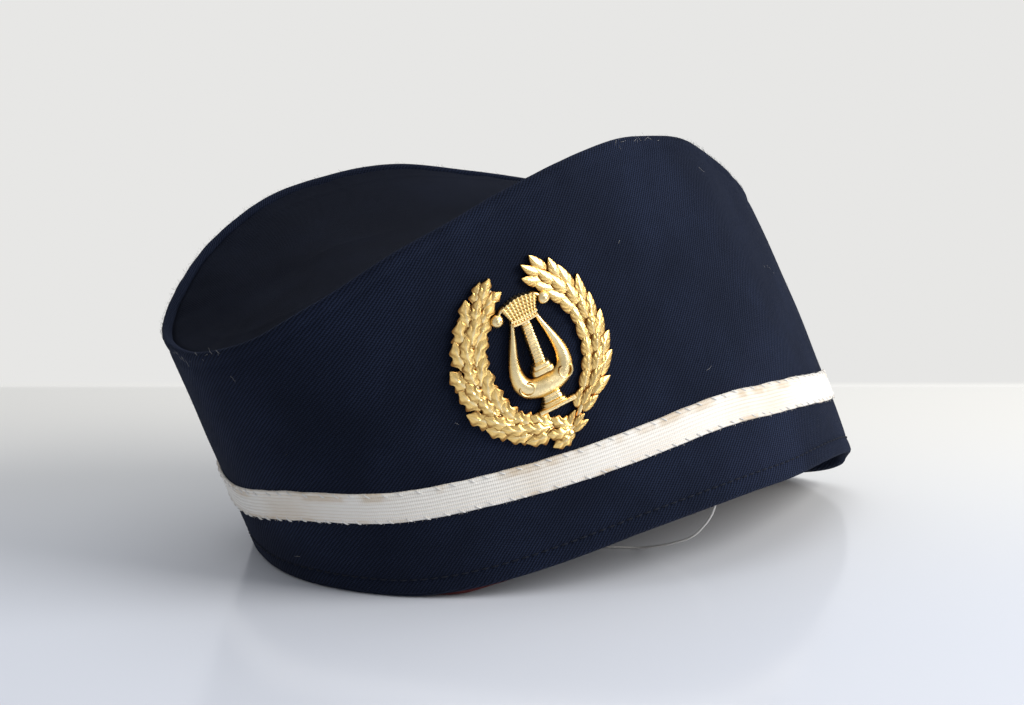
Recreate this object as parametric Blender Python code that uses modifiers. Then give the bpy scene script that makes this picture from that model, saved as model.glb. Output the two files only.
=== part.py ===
"""A kepi-style band cap: a leaning navy band, an oval crown set into its rim, a white
ribbon, a red inner band and a cast lyre badge.

Metres, +Z up. The cap stands on z = 0 with its front towards -Y and the wearer's right,
which carries the badge, towards -X. Every ring of the cap is read from one wall function.
Its turn is an angle in degrees: 0 at the front seam, 90 at the wearer's right and 180 at
the back. Its height is measured up the wall before the wall leans, and its inset is the
distance inside the band's outer face.
"""

import math

import bmesh
import bpy
import numpy as np
from mathutils import Matrix, Vector

MM = 0.001

# Hem, the open lower edge
HEM_FRONT = 110.0 * MM
HEM_BACK = 94.0 * MM
HEM_HALF_WIDTH = 67.0 * MM
FRONT_SHARPNESS = 0.72
BACK_FULLNESS = 0.44

# Rim, the folded upper edge
RIM_FRONT = 110.0 * MM
RIM_BACK = 94.0 * MM
RIM_HALF_WIDTH = 62.0 * MM
RIM_HEIGHT = 106.0 * MM
RIM_FOLD = 1.3 * MM
FRONT_BELLY = 2.5 * MM

# How the worn cap leans back and twists
BACKWARD_LEAN = 0.39
SIDE_LEAN = 0.14
NEAR_LIFT = 23.0 * MM
TWIST_BACK = 65.0 * MM
TWIST_LENGTH = 130.0 * MM
LIFT_START = -38.0
LIFT_FULL = 50.0
LIFT_FALL = 62.0
LIFT_END = 137.0

# Walls and clearances
BAND_THICKNESS = 2.6 * MM
FRONT_INSET = 1.3
GAP = 0.35 * MM

# Crown panel
CROWN_THICKNESS = 1.8 * MM
CROWN_DROP = 2.4 * MM
CROWN_SAG = 13.0 * MM
CROWN_SPINE = 0.6
CROWN_HOLLOW = 1.7

# Ribbon
RIBBON_HEIGHT = 20.5 * MM
RIBBON_WIDTH = 9.2 * MM
RIBBON_THICKNESS = 0.7 * MM

# Inner band
LINING_HEIGHT = 26.0 * MM
LINING_THICKNESS = 0.9 * MM
LINING_SHOW = 1.4 * MM
LINING_SHOW_TURN = 118.0
LINING_SHOW_SPREAD = 26.0
FLOOR_CLEARANCE = 0.2 * MM

# Badge, in its own plane: u to the right, v up, n away from the band
BADGE_TURN = 99.0
BADGE_HEIGHT = 61.5 * MM
BADGE_TILT = 5.0
WREATH_HALF_WIDTH = 17.3 * MM
WREATH_HALF_HEIGHT = 19.8 * MM
WREATH_GAP = 17.0
WREATH_FOOT = 14.0
WREATH_FOOT_DROP = 4.4 * MM
LEAF_ROWS = 9
LEAF_LENGTH = 9.6 * MM
LEAF_WIDTH = 3.9 * MM
LEAF_SPREAD = 31.0
LEAF_OFFSET = 2.9 * MM
STEM_RADIUS = 0.9 * MM
LYRE_HALF_WIDTH = 8.1 * MM
LYRE_FOOT = 13.6 * MM
LYRE_HEAD = 14.2 * MM
ARM_RADIUS = 1.7 * MM
BALL_RADIUS = 1.8 * MM
COLUMN_WIDTH = 3.4 * MM
BADGE_THICKNESS = 1.6 * MM
BADGE_VOXEL = 0.36 * MM
BADGE_TRIANGLES = 4200

COLUMNS = 72
CROWN_RINGS = 7

# Rim sections from the front seam to the back. Station is a share of RIM_FRONT ahead of
# the middle and of RIM_BACK behind it, side is a share of RIM_HALF_WIDTH, and the heights
# of the badge side and of the other side are shares of RIM_HEIGHT.
RIM_SECTIONS = (
    # turn, station, side, near height, far height
    (0, 1.00, 0.00, 0.87, 0.87),
    (15, 0.915, 0.20, 0.90, 0.88),
    (30, 0.80, 0.38, 0.935, 0.91),
    (45, 0.68, 0.57, 0.97, 0.94),
    (60, 0.53, 0.73, 0.99, 0.97),
    (75, 0.36, 0.86, 1.00, 1.00),
    (90, 0.14, 0.97, 1.00, 1.03),
    (105, -0.10, 1.00, 0.98, 1.01),
    (120, -0.36, 0.97, 0.94, 0.96),
    (135, -0.62, 0.84, 0.84, 0.86),
    (150, -0.82, 0.61, 0.73, 0.76),
    (165, -0.96, 0.32, 0.67, 0.68),
    (180, -1.00, 0.00, 0.66, 0.66),
)

# Lower edge of the ribbon, as a share of RIBBON_HEIGHT
RIBBON_SECTIONS = (
    # turn, height
    (0, 1.02),
    (32, 0.86),
    (65, 1.00),
    (90, 1.00),
    (120, 1.15),
    (150, 1.08),
    (180, 0.84),
)

# One arm of the lyre from its head to its foot. Side is a share of LYRE_HALF_WIDTH, level
# a share of LYRE_HEAD above the middle and of LYRE_FOOT below it, radius of ARM_RADIUS.
LYRE_ARM = (
    # side, level, radius
    (0.62, 0.92, 0.55),
    (0.66, 0.55, 0.60),
    (0.90, 0.05, 0.80),
    (1.00, -0.38, 0.95),
    (0.92, -0.70, 1.10),
    (0.55, -0.93, 1.20),
    (0.00, -1.00, 1.25),
)

# Colour, metallic value and roughness of each piece
FINISHES = {
    "side_band": ((0.012, 0.016, 0.032), 0.0, 0.92),
    "crown": ((0.012, 0.016, 0.032), 0.0, 0.92),
    "ribbon": ((0.78, 0.75, 0.70), 0.0, 0.80),
    "lining": ((0.30, 0.03, 0.03), 0.0, 0.85),
    "badge": ((0.83, 0.60, 0.22), 1.0, 0.30),
}


def smooth_step(value):
    """Rise smoothly from 0 to 1 while the value goes from 0 to 1."""
    share = np.clip(value, 0.0, 1.0)
    return share * share * (3.0 - 2.0 * share)


def signed_turn(turn):
    """Bring a turn into the range from -180 to 180 degrees."""
    return (np.asarray(turn, float) + 180.0) % 360.0 - 180.0


def through_sections(sections, column, turn, crosses=False):
    """Read one column of a section table with a smooth curve through its rows.

    The curve is even about both ends, or odd where it crosses the cap's middle plane.
    """
    table = np.array(sections, float)
    rows, values = table[:, 0], table[:, column]
    side = -1.0 if crosses else 1.0
    rows_beyond = np.concatenate([[-rows[1]], rows, [2.0 * rows[-1] - rows[-2]]])
    values_beyond = np.concatenate([[side * values[1]], values, [side * values[-2]]])
    slopes = (values_beyond[2:] - values_beyond[:-2]) / (rows_beyond[2:] - rows_beyond[:-2])
    index = np.clip(np.searchsorted(rows, turn, side="right") - 1, 0, len(rows) - 2)
    step = rows[index + 1] - rows[index]
    t = (turn - rows[index]) / step
    start = (1.0 + 2.0 * t) * (1.0 - t) ** 2 * values[index]
    leave = t * (1.0 - t) ** 2 * step * slopes[index]
    reach = t * t * (3.0 - 2.0 * t) * values[index + 1]
    arrive = t * t * (t - 1.0) * step * slopes[index + 1]
    return start + leave + reach + arrive


def hem_plan(turn, inset):
    """Station and side of the hem: half an oval behind, half a soft point in front."""
    along = np.cos(np.radians(turn))
    front = (HEM_FRONT - FRONT_INSET * inset) * along
    back = (HEM_BACK - inset) * along
    sharper = 0.5 + (FRONT_SHARPNESS - 0.5) * smooth_step(1.25 * along)
    fuller = 0.5 + (BACK_FULLNESS - 0.5) * smooth_step(-1.25 * along)
    power = np.where(along > 0.0, sharper, fuller)
    across = np.maximum(1.0 - along * along, 0.0) ** power
    side = (HEM_HALF_WIDTH - inset) * across * np.sign(np.sin(np.radians(turn)))
    return np.where(along > 0.0, front, back), side


def rim_plan(turn, inset):
    """Station, side and height of the rim."""
    signed = signed_turn(turn)
    unsigned = np.abs(signed)
    station = through_sections(RIM_SECTIONS, 1, unsigned)
    front = station * (RIM_FRONT - FRONT_INSET * inset)
    back = station * (RIM_BACK - inset)
    share = through_sections(RIM_SECTIONS, 2, unsigned, crosses=True)
    side = share * (RIM_HALF_WIDTH - inset) * np.sign(signed)
    near = through_sections(RIM_SECTIONS, 3, unsigned)
    far = through_sections(RIM_SECTIONS, 4, unsigned)
    height = RIM_HEIGHT * np.where(signed >= 0.0, near, far)
    return np.where(station > 0.0, front, back), side, height


def rim_height(turn):
    """Height of the rim, measured up the wall."""
    return rim_plan(turn, 0.0)[2]


def near_lift(turn):
    """How far the twisted cap lifts off the floor at a turn."""
    signed = signed_turn(turn)
    rise = smooth_step((signed - LIFT_START) / (LIFT_FULL - LIFT_START))
    fall = smooth_step((signed - LIFT_FALL) / (LIFT_END - LIFT_FALL))
    return NEAR_LIFT * rise * (1.0 - fall)


def wall_point(turn, height, inset=0.0):
    """A point of the wall: between hem and rim, fuller in front, then leant and twisted."""
    hem_station, hem_side = hem_plan(turn, inset)
    rim_station, rim_side, top = rim_plan(turn, inset)
    share = height / top
    belly = FRONT_BELLY * 4.0 * share * (1.0 - share) * np.maximum(np.cos(np.radians(turn)), 0.0)
    station = hem_station + (rim_station - hem_station) * share + belly - BACKWARD_LEAN * height
    side_lean = SIDE_LEAN * smooth_step((hem_station + TWIST_BACK) / TWIST_LENGTH)
    side = hem_side + (rim_side - hem_side) * share - side_lean * height
    level = height + near_lift(turn)
    x, y, z = np.broadcast_arrays(-side, -station, level)
    return np.stack([x, y, z], axis=-1)


def ribbon_low(turn):
    """Height of the ribbon's lower edge."""
    return RIBBON_HEIGHT * through_sections(RIBBON_SECTIONS, 1, np.abs(signed_turn(turn)))


def make_finish(name):
    """Plain finish of one piece."""
    colour, metallic, roughness = FINISHES[name]
    finish = bpy.data.materials.new(name + "_finish")
    finish.use_nodes = True
    shader = finish.node_tree.nodes["Principled BSDF"]
    shader.inputs["Base Color"].default_value = (*colour, 1.0)
    shader.inputs["Metallic"].default_value = metallic
    shader.inputs["Roughness"].default_value = roughness
    return finish


def make_piece(name, mesh, collection):
    """Put a mesh in the scene as a named piece with its own finish."""
    mesh.name = name
    mesh.materials.clear()
    mesh.materials.append(make_finish(name))
    piece = bpy.data.objects.new(name, mesh)
    collection.objects.link(piece)
    mesh.shade_smooth()
    mesh.set_sharp_from_angle(angle=math.radians(40.0))
    return piece


def ring_mesh(name, rings):
    """Mesh of a closed tube whose rows of points close on themselves in both directions."""
    rows, columns = rings.shape[:2]
    row = np.arange(rows)[:, None]
    column = np.arange(columns)[None, :]
    next_row = (row + 1) % rows
    next_column = (column + 1) % columns
    corners = (
        row * columns + column,
        row * columns + next_column,
        next_row * columns + next_column,
        next_row * columns + column,
    )
    faces = np.stack(np.broadcast_arrays(*corners), axis=-1).reshape(-1, 4)
    mesh = bpy.data.meshes.new(name)
    mesh.from_pydata(rings.reshape(-1, 3).tolist(), [], faces.tolist())
    tidy_normals(mesh)
    return mesh


def tidy_normals(mesh):
    """Merge points that coincide and turn all faces outwards."""
    shell = bmesh.new()
    shell.from_mesh(mesh)
    bmesh.ops.remove_doubles(shell, verts=shell.verts, dist=0.00001)
    bmesh.ops.recalc_face_normals(shell, faces=shell.faces)
    shell.to_mesh(mesh)
    shell.free()


def all_turns():
    """The turns at which every wall has a column, starting on the front seam."""
    return np.arange(COLUMNS) * 360.0 / COLUMNS


def make_side_band(collection):
    """Hollow twill wall from the hem to the folded rim, with its rim fold rounded."""
    turn = all_turns()
    top = rim_height(turn)
    low = ribbon_low(turn)
    high = low + RIBBON_WIDTH
    shoulder = top - RIM_FOLD
    upper = [high + (shoulder - high) * share for share in (0.2, 0.4, 0.6, 0.8, 1.0)]
    outer = [0.0 * top, 0.5 * low, low, high] + upper
    profile = [(height, 0.0) for height in outer]
    profile += [(top - 0.3 * RIM_FOLD, 0.15 * BAND_THICKNESS)]
    profile += [(top, 0.5 * BAND_THICKNESS)]
    profile += [(top - 0.3 * RIM_FOLD, 0.85 * BAND_THICKNESS)]
    profile += [(height, BAND_THICKNESS) for height in reversed(outer)]
    rings = np.stack([wall_point(turn, height, inset) for height, inset in profile])
    return make_piece("side_band", ring_mesh("side_band", rings), collection)


def crown_surface(drop):
    """Rings of the crown from its edge inside the rim to the line along its middle."""
    turn = all_turns()
    edge_turn_height = rim_height(turn) - drop
    edge = wall_point(turn, edge_turn_height, BAND_THICKNESS + GAP)
    mirrored = edge[(-np.arange(COLUMNS)) % COLUMNS]
    middle = 0.5 * (edge + mirrored)
    centre = 0.5 * (middle[0] + middle[COLUMNS // 2])
    spine = centre + CROWN_SPINE * (middle - centre)
    half = middle[: COLUMNS // 2 + 1]
    level = np.interp(spine[:, 1], half[:, 1], half[:, 2])
    reach = (spine[:, 1] - centre[1]) / (CROWN_SPINE * abs(middle[0, 1] - centre[1]))
    spine[:, 2] = level - CROWN_SAG * (1.0 - 0.45 * reach * reach)
    rings = []
    for share in np.linspace(1.0, 0.0, CROWN_RINGS + 1):
        ring = spine + (edge - spine) * share
        ring[:, 2] = spine[:, 2] + (edge[:, 2] - spine[:, 2]) * share ** CROWN_HOLLOW
        rings.append(ring)
    return rings


def make_crown(collection):
    """Oval top panel, set into the rim and sagging towards its middle line."""
    top = crown_surface(CROWN_DROP)
    below = crown_surface(CROWN_DROP + CROWN_THICKNESS)
    rings = np.stack(top + below[::-1])
    rows, columns = rings.shape[:2]
    mesh = bpy.data.meshes.new("crown")
    row = np.arange(rows)[:, None]
    column = np.arange(columns)[None, :]
    seam = CROWN_RINGS
    index = row * columns + column
    across = row * columns + (column + 1) % columns
    next_row = (row + 1) % rows
    faces = np.stack(
        [index, across, next_row * columns + (column + 1) % columns, next_row * columns + column],
        axis=-1,
    )
    faces = np.delete(faces, seam, axis=0).reshape(-1, 4)
    mesh.from_pydata(rings.reshape(-1, 3).tolist(), [], faces.tolist())
    tidy_normals(mesh)
    return make_piece("crown", mesh, collection)


def make_ribbon(collection):
    """White ribbon round the band, a hair off its outer face."""
    turn = all_turns()
    low = ribbon_low(turn)
    high = low + RIBBON_WIDTH
    inner = -GAP
    outer = -GAP - RIBBON_THICKNESS
    profile = [(low, inner), (low, outer), (high, outer), (high, inner)]
    rings = np.stack([wall_point(turn, height, inset) for height, inset in profile])
    return make_piece("ribbon", ring_mesh("ribbon", rings), collection)


def make_lining(collection):
    """Red inner band, whose lower edge peeps out where the hem starts to lift."""
    turn = all_turns()
    near = smooth_step(1.0 - np.abs(signed_turn(turn) - LINING_SHOW_TURN) / LINING_SHOW_SPREAD)
    hang = np.minimum(LINING_SHOW * near, near_lift(turn))
    low = FLOOR_CLEARANCE - hang
    high = LINING_HEIGHT + 0.0 * turn
    outer = BAND_THICKNESS + GAP
    inner = outer + LINING_THICKNESS
    profile = [(low, outer), (high, outer), (high, inner), (low, inner)]
    rings = np.stack([wall_point(turn, height, inset) for height, inset in profile])
    return make_piece("lining", ring_mesh("lining", rings), collection)


def wreath_point(angle):
    """Middle line of the wreath at an angle in degrees, dropped at its foot."""
    phi = math.radians(angle)
    from_foot = (signed_turn(angle + 90.0)) / WREATH_FOOT
    drop = WREATH_FOOT_DROP * math.exp(-from_foot * from_foot)
    return Vector((WREATH_HALF_WIDTH * math.cos(phi), WREATH_HALF_HEIGHT * math.sin(phi) - drop, 0.0))


def add_ball(shell, place, size, segments=10):
    """Flattened ball of half sizes u, v and n."""
    matrix = Matrix.Translation(place) @ Matrix.Diagonal((*size, 1.0))
    bmesh.ops.create_uvsphere(
        shell, u_segments=segments, v_segments=segments // 2 + 1, radius=1.0, matrix=matrix
    )


def add_block(shell, place, size):
    """Box of full sizes u, v and n."""
    matrix = Matrix.Translation(place) @ Matrix.Diagonal((*size, 1.0))
    bmesh.ops.create_cube(shell, size=1.0, matrix=matrix)


def add_leaf(shell, root, heading, length, width, rise):
    """Pointed leaf: a flat ball that starts at its root and narrows to its tip."""
    made = bmesh.ops.create_uvsphere(shell, u_segments=8, v_segments=7, radius=1.0)
    turn = Matrix.Rotation(heading, 4, "Z")
    for vert in made["verts"]:
        x, y, z = vert.co.z, vert.co.x, vert.co.y
        narrow = 1.0 - 0.45 * (x + 1.0) / 2.0
        flat = Vector((0.5 * length * (x + 1.0), 0.5 * width * y * narrow, BADGE_THICKNESS * z))
        vert.co = root + turn @ flat + Vector((0.0, 0.0, rise * (x + 1.0)))


def add_rod(shell, points, radii):
    """Round rod through the points, as a bevelled curve made into a mesh."""
    curve = bpy.data.curves.new("rod", "CURVE")
    curve.dimensions = "3D"
    curve.bevel_depth = 1.0
    curve.bevel_resolution = 2
    curve.use_fill_caps = True
    spline = curve.splines.new("POLY")
    spline.points.add(len(points) - 1)
    for knot, place, radius in zip(spline.points, points, radii):
        knot.co = (*place, 1.0)
        knot.radius = radius
    holder = bpy.data.objects.new("rod", curve)
    bpy.context.scene.collection.objects.link(holder)
    graph = bpy.context.evaluated_depsgraph_get()
    mesh = bpy.data.meshes.new_from_object(holder.evaluated_get(graph))
    bpy.data.objects.remove(holder)
    rod = bmesh.new()
    rod.from_mesh(mesh)
    bmesh.ops.remove_doubles(rod, verts=rod.verts, dist=0.00001)
    bmesh.ops.recalc_face_normals(rod, faces=rod.faces)
    rod.to_mesh(mesh)
    rod.free()
    shell.from_mesh(mesh)
    bpy.data.meshes.remove(mesh)


def add_wreath(shell):
    """Two laurel branches that meet at the foot and leave a gap at the top."""
    span = 180.0 - WREATH_GAP
    for side in (-1.0, 1.0):
        angles = [-90.0 + side * span * share for share in np.linspace(0.0, 1.0, 24)]
        path = [wreath_point(angle) for angle in angles]
        add_rod(shell, path, [STEM_RADIUS] * len(path))
        for row in range(LEAF_ROWS):
            share = (row + 0.55) / (LEAF_ROWS + 0.4)
            angle = -90.0 + side * span * share
            root = wreath_point(angle)
            ahead = wreath_point(angle + side * 2.0) - root
            heading = math.atan2(ahead.y, ahead.x)
            across = Vector((-ahead.y, ahead.x, 0.0)).normalized()
            for lean in (-1.0, 0.0, 1.0):
                place = root + across * lean * LEAF_OFFSET * 0.5
                fan = heading + lean * math.radians(LEAF_SPREAD)
                rise = 0.0001 if lean else 0.0003
                add_leaf(shell, place, fan, LEAF_LENGTH, LEAF_WIDTH, rise)


def lyre_arm_points(side):
    """Middle line and radii of one arm of the lyre."""
    points = []
    radii = []
    for across, level, radius in LYRE_ARM:
        reach = LYRE_HEAD if level > 0.0 else LYRE_FOOT
        points.append(Vector((side * across * LYRE_HALF_WIDTH, level * reach, 0.0)))
        radii.append(radius * ARM_RADIUS)
    return points, radii


def add_lyre(shell):
    """Lyre: ribbed yoke, two scroll balls, two arms, string column, soundbox and foot."""
    for side in (-1.0, 1.0):
        points, radii = lyre_arm_points(side)
        add_rod(shell, points, radii)
        ball = Vector((side * 0.94 * LYRE_HALF_WIDTH, 0.93 * LYRE_HEAD, 0.0))
        add_ball(shell, ball, (BALL_RADIUS, BALL_RADIUS, 1.3 * BALL_RADIUS))
        string = Vector((side * 0.32 * COLUMN_WIDTH, 0.0, 0.0))
        top = string + Vector((0.0, 0.95 * LYRE_HEAD, 0.0))
        foot = string - Vector((0.0, 0.75 * LYRE_FOOT, 0.0))
        add_rod(shell, [top, foot], [0.26 * COLUMN_WIDTH] * 2)
    yoke = 1.05 * LYRE_HALF_WIDTH
    for rib in range(7):
        share = rib / 6.0 - 0.5
        low = Vector((share * 0.8 * yoke, 0.76 * LYRE_HEAD, 0.0))
        arch = 1.26 - 0.5 * share * share
        high = Vector((share * 1.15 * yoke, arch * LYRE_HEAD, 0.0))
        add_rod(shell, [low, high], [0.62 * MM, 0.72 * MM])
    add_block(shell, Vector((0.0, 0.80 * LYRE_HEAD, 0.0)), (yoke, 1.4 * MM, 2.0 * BADGE_THICKNESS))
    for level, width in ((0.60, 1.35), (0.74, 1.75)):
        place = Vector((0.0, -level * LYRE_FOOT, 0.0))
        add_block(shell, place, (width * COLUMN_WIDTH, 0.13 * LYRE_FOOT, 3.2 * MM))
    box = Vector((0.0, -0.9 * LYRE_FOOT, 0.0))
    add_ball(shell, box, (0.85 * LYRE_HALF_WIDTH, 0.24 * LYRE_FOOT, 1.1 * BADGE_THICKNESS), 16)
    pedestal = Vector((0.0, -1.22 * LYRE_FOOT, 0.0))
    add_block(shell, pedestal, (1.5 * COLUMN_WIDTH, 0.4 * LYRE_FOOT, 2.0 * BADGE_THICKNESS))
    bar = Vector((0.0, -1.38 * LYRE_FOOT, 0.0))
    reach = Vector((0.95 * LYRE_HALF_WIDTH, 0.0, 0.0))
    add_rod(shell, [bar - reach, bar + reach], [0.95 * MM] * 2)


def bend_to_wall(points):
    """Carry points from the badge's plane to the wall: across, up and off its outer face."""
    tilt = math.radians(BADGE_TILT)
    u = points[:, 0] * math.cos(tilt) - points[:, 1] * math.sin(tilt)
    v = points[:, 0] * math.sin(tilt) + points[:, 1] * math.cos(tilt)
    turns = np.linspace(BADGE_TURN - 60.0, BADGE_TURN + 60.0, 241)
    row = wall_point(turns, BADGE_HEIGHT)
    steps = np.linalg.norm(np.diff(row, axis=0), axis=1)
    length = np.concatenate([[0.0], np.cumsum(steps)])
    length -= np.interp(BADGE_TURN, turns, length)
    turn = np.interp(-u, length, turns)
    climb = math.hypot(1.0, BACKWARD_LEAN)
    return wall_point(turn, BADGE_HEIGHT + v / climb, -GAP - points[:, 2])


def make_badge(collection, cutters):
    """Cast badge: its shapes are fused, cut flat at the back, thinned and bent to the wall."""
    shell = bmesh.new()
    add_wreath(shell)
    add_lyre(shell)
    bmesh.ops.recalc_face_normals(shell, faces=shell.faces)
    mesh = bpy.data.meshes.new("badge_shapes")
    shell.to_mesh(mesh)
    shell.free()
    cast = bpy.data.objects.new("badge_shapes", mesh)
    collection.objects.link(cast)
    fuse = cast.modifiers.new("Fuse", "REMESH")
    fuse.mode = "VOXEL"
    fuse.voxel_size = BADGE_VOXEL
    fuse.adaptivity = 0.0
    depth = 10.0 * MM
    block = bpy.data.meshes.new("badge_back")
    cut = bmesh.new()
    add_block(cut, Vector((0.0, 0.0, 0.5 * depth + 0.001 * MM)), (90.0 * MM, 90.0 * MM, depth))
    cut.to_mesh(block)
    cut.free()
    cutter = bpy.data.objects.new("badge_back", block)
    cutter.hide_render = True
    cutter.display_type = "WIRE"
    cutters.objects.link(cutter)
    flat = cast.modifiers.new("Flat back", "BOOLEAN")
    flat.operation = "INTERSECT"
    flat.solver = "EXACT"
    flat.object = cutter
    graph = bpy.context.evaluated_depsgraph_get()
    fused = bpy.data.meshes.new_from_object(cast.evaluated_get(graph))
    cast.modifiers.clear()
    cast.data = fused
    thin = cast.modifiers.new("Thin out", "DECIMATE")
    triangles = sum(len(face.vertices) - 2 for face in fused.polygons)
    thin.ratio = min(1.0, BADGE_TRIANGLES / triangles)
    thin.use_collapse_triangulate = True
    graph = bpy.context.evaluated_depsgraph_get()
    final = bpy.data.meshes.new_from_object(cast.evaluated_get(graph))
    bpy.data.objects.remove(cast)
    points = np.empty(len(final.vertices) * 3)
    final.vertices.foreach_get("co", points)
    bent = bend_to_wall(points.reshape(-1, 3))
    final.vertices.foreach_set("co", bent.reshape(-1))
    final.update()
    tidy_normals(final)
    return make_piece("badge", final, collection)


def centre_on_floor(pieces):
    """Move the pieces so that the middle of their common box stands over the origin."""
    corners = []
    for piece in pieces:
        points = np.empty(len(piece.data.vertices) * 3)
        piece.data.vertices.foreach_get("co", points)
        points = points.reshape(-1, 3)
        corners.append(points.min(axis=0))
        corners.append(points.max(axis=0))
    lowest = np.min(corners, axis=0)
    highest = np.max(corners, axis=0)
    middle = 0.5 * (lowest + highest)
    move = Matrix.Translation((-middle[0], -middle[1], -lowest[2]))
    for piece in pieces:
        piece.data.transform(move)


def main():
    """Model the cap."""
    for item in list(bpy.data.objects):
        bpy.data.objects.remove(item)
    cap = bpy.data.collections.new("Band cap")
    cutters = bpy.data.collections.new("Cutters")
    for collection in (cap, cutters):
        bpy.context.scene.collection.children.link(collection)
    pieces = [
        make_side_band(cap),
        make_crown(cap),
        make_ribbon(cap),
        make_lining(cap),
        make_badge(cap, cutters),
    ]
    centre_on_floor(pieces)


main()
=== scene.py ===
"""Looks of a worn band cap: twill wall and crown, ribbed ribbon, red inner band, cast badge,
stitching, lint and a loose thread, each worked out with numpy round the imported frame.

Turns are degrees round the cap: 0 at the front, 90 at the wearer's right, 180 at the back.
Heights run up the wall before it leans. An inset is a distance inside the outer face.
"""

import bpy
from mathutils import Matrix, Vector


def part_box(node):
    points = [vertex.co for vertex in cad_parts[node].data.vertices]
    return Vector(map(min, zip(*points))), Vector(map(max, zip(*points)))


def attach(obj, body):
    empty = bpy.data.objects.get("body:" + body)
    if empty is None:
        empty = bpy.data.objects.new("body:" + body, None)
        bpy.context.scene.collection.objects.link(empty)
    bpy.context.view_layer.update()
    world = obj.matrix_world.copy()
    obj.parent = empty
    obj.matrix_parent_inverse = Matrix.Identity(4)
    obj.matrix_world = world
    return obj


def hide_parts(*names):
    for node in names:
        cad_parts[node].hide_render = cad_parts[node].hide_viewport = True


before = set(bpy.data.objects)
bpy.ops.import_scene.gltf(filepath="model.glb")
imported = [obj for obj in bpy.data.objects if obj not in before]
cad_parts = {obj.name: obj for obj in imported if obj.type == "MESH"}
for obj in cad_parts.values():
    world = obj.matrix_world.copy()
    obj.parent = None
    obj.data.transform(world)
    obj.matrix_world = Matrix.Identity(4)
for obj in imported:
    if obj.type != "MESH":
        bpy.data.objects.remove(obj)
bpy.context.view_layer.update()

import math
from collections import namedtuple

import bmesh
import bpy
import numpy as np
from bpy.props import FloatProperty, FloatVectorProperty, IntProperty, PointerProperty
from mathutils import Vector

bl_info = {
    "name": "Band cap",
    "version": (1, 0, 0),
    "blender": (4, 5, 0),
    "location": "3D View > Sidebar > Band cap",
    "description": "Makes a kepi-style band cap with its ribbon, badge and worn cloth",
    "category": "Add Mesh",
}

MM = 0.001

# Grid columns round each piece, rows or rings across it, and columns that measure lengths.
FRAME_COLUMNS = 72
BAND_COLUMNS = 840
CROWN_COLUMNS = 480
CROWN_RINGS = 84
RIBBON_COLUMNS = 1000
RIBBON_ROWS = 57
INNER_COLUMNS = 480
INNER_ROWS = 15
FINE_COLUMNS = 3601

# How many loose hairs each place has.
WALL_HAIRS = 2600
RIM_HAIRS = 2400
LINT_HAIRS = 30
RIBBON_HAIRS = 1100

# Red inner band: its height, its thickness, how far it peeps out and how far its front is raised.
INNER_HEIGHT = 26.0 * MM
INNER_THICKNESS = 0.9 * MM
INNER_PEEP = 1.4 * MM
INNER_RAISE = 5.5 * MM

# Rounding of the hem, and how far up the hem and down from the rim the rows are finer,
# in millimetres.
HEM_ROUND = 1.3
FINE_HEM = 9.5
FINE_RIM = 7.0

# Turns where the hem starts to lift, is fully lifted, starts to sink and lies flat again.
LIFT_TURNS = (-38.0, 50.0, 62.0, 137.0)

# Tufts of lint on the wall.
LINT_TUFTS = (
    # turn, share of the rim's height, hairs
    (66.0, 0.995, 7),
    (60.0, 0.995, 5),
    (28.0, 0.62, 4),
    (172.0, 0.97, 8),
    (160.0, 0.985, 6),
)

# Radius of each kind of strand at its knots, in millimetres.
HEM_THREAD = (0.11, 0.17, 0.20, 0.21, 0.20, 0.17, 0.11)
RIBBON_THREAD = (0.12, 0.21, 0.25, 0.26, 0.25, 0.21, 0.12)
WOOL_HAIR = (0.022, 0.022, 0.02, 0.017, 0.012)
LINT_HAIR = (0.030, 0.032, 0.03, 0.026, 0.018)
TAPE_HAIR = (0.045, 0.042, 0.036, 0.022)

# Rim from the front to the back: station and side are shares of the rim's half sizes,
# heights of the badge side and of the other side are shares of the rim's height.
RIM_SECTIONS = (
    # turn, station, side, near height, far height
    (0, 1.00, 0.00, 0.87, 0.87),
    (15, 0.915, 0.20, 0.90, 0.88),
    (30, 0.80, 0.38, 0.935, 0.91),
    (45, 0.68, 0.57, 0.97, 0.94),
    (60, 0.53, 0.73, 0.99, 0.97),
    (75, 0.36, 0.86, 1.00, 1.00),
    (90, 0.14, 0.97, 1.00, 1.03),
    (105, -0.10, 1.00, 0.98, 1.01),
    (120, -0.36, 0.97, 0.94, 0.96),
    (135, -0.62, 0.84, 0.84, 0.86),
    (150, -0.82, 0.61, 0.73, 0.76),
    (165, -0.96, 0.32, 0.67, 0.68),
    (180, -1.00, 0.00, 0.66, 0.66),
)

# Lower edge of the ribbon, as a share of the ribbon's height up the wall.
RIBBON_SECTIONS = (
    # turn, height
    (0, 1.02),
    (32, 0.86),
    (65, 1.00),
    (90, 1.00),
    (120, 1.15),
    (150, 1.08),
    (180, 0.84),
)

# Half of the lyre's body in millimetres of the badge's plane, from the head of one arm
# down to the middle of the soundbox.
LYRE_ARM = (
    # side, level, half width, thickness
    (3.6, 11.6, 0.65, 1.9),
    (4.3, 8.6, 0.85, 2.0),
    (5.5, 4.8, 1.15, 2.2),
    (6.9, 0.6, 1.55, 2.4),
    (7.7, -3.6, 2.05, 2.6),
    (7.5, -7.2, 2.55, 2.8),
    (5.8, -9.9, 2.95, 3.0),
    (3.0, -10.9, 3.15, 3.1),
    (0.0, -11.0, 3.20, 3.2),
)

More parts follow.
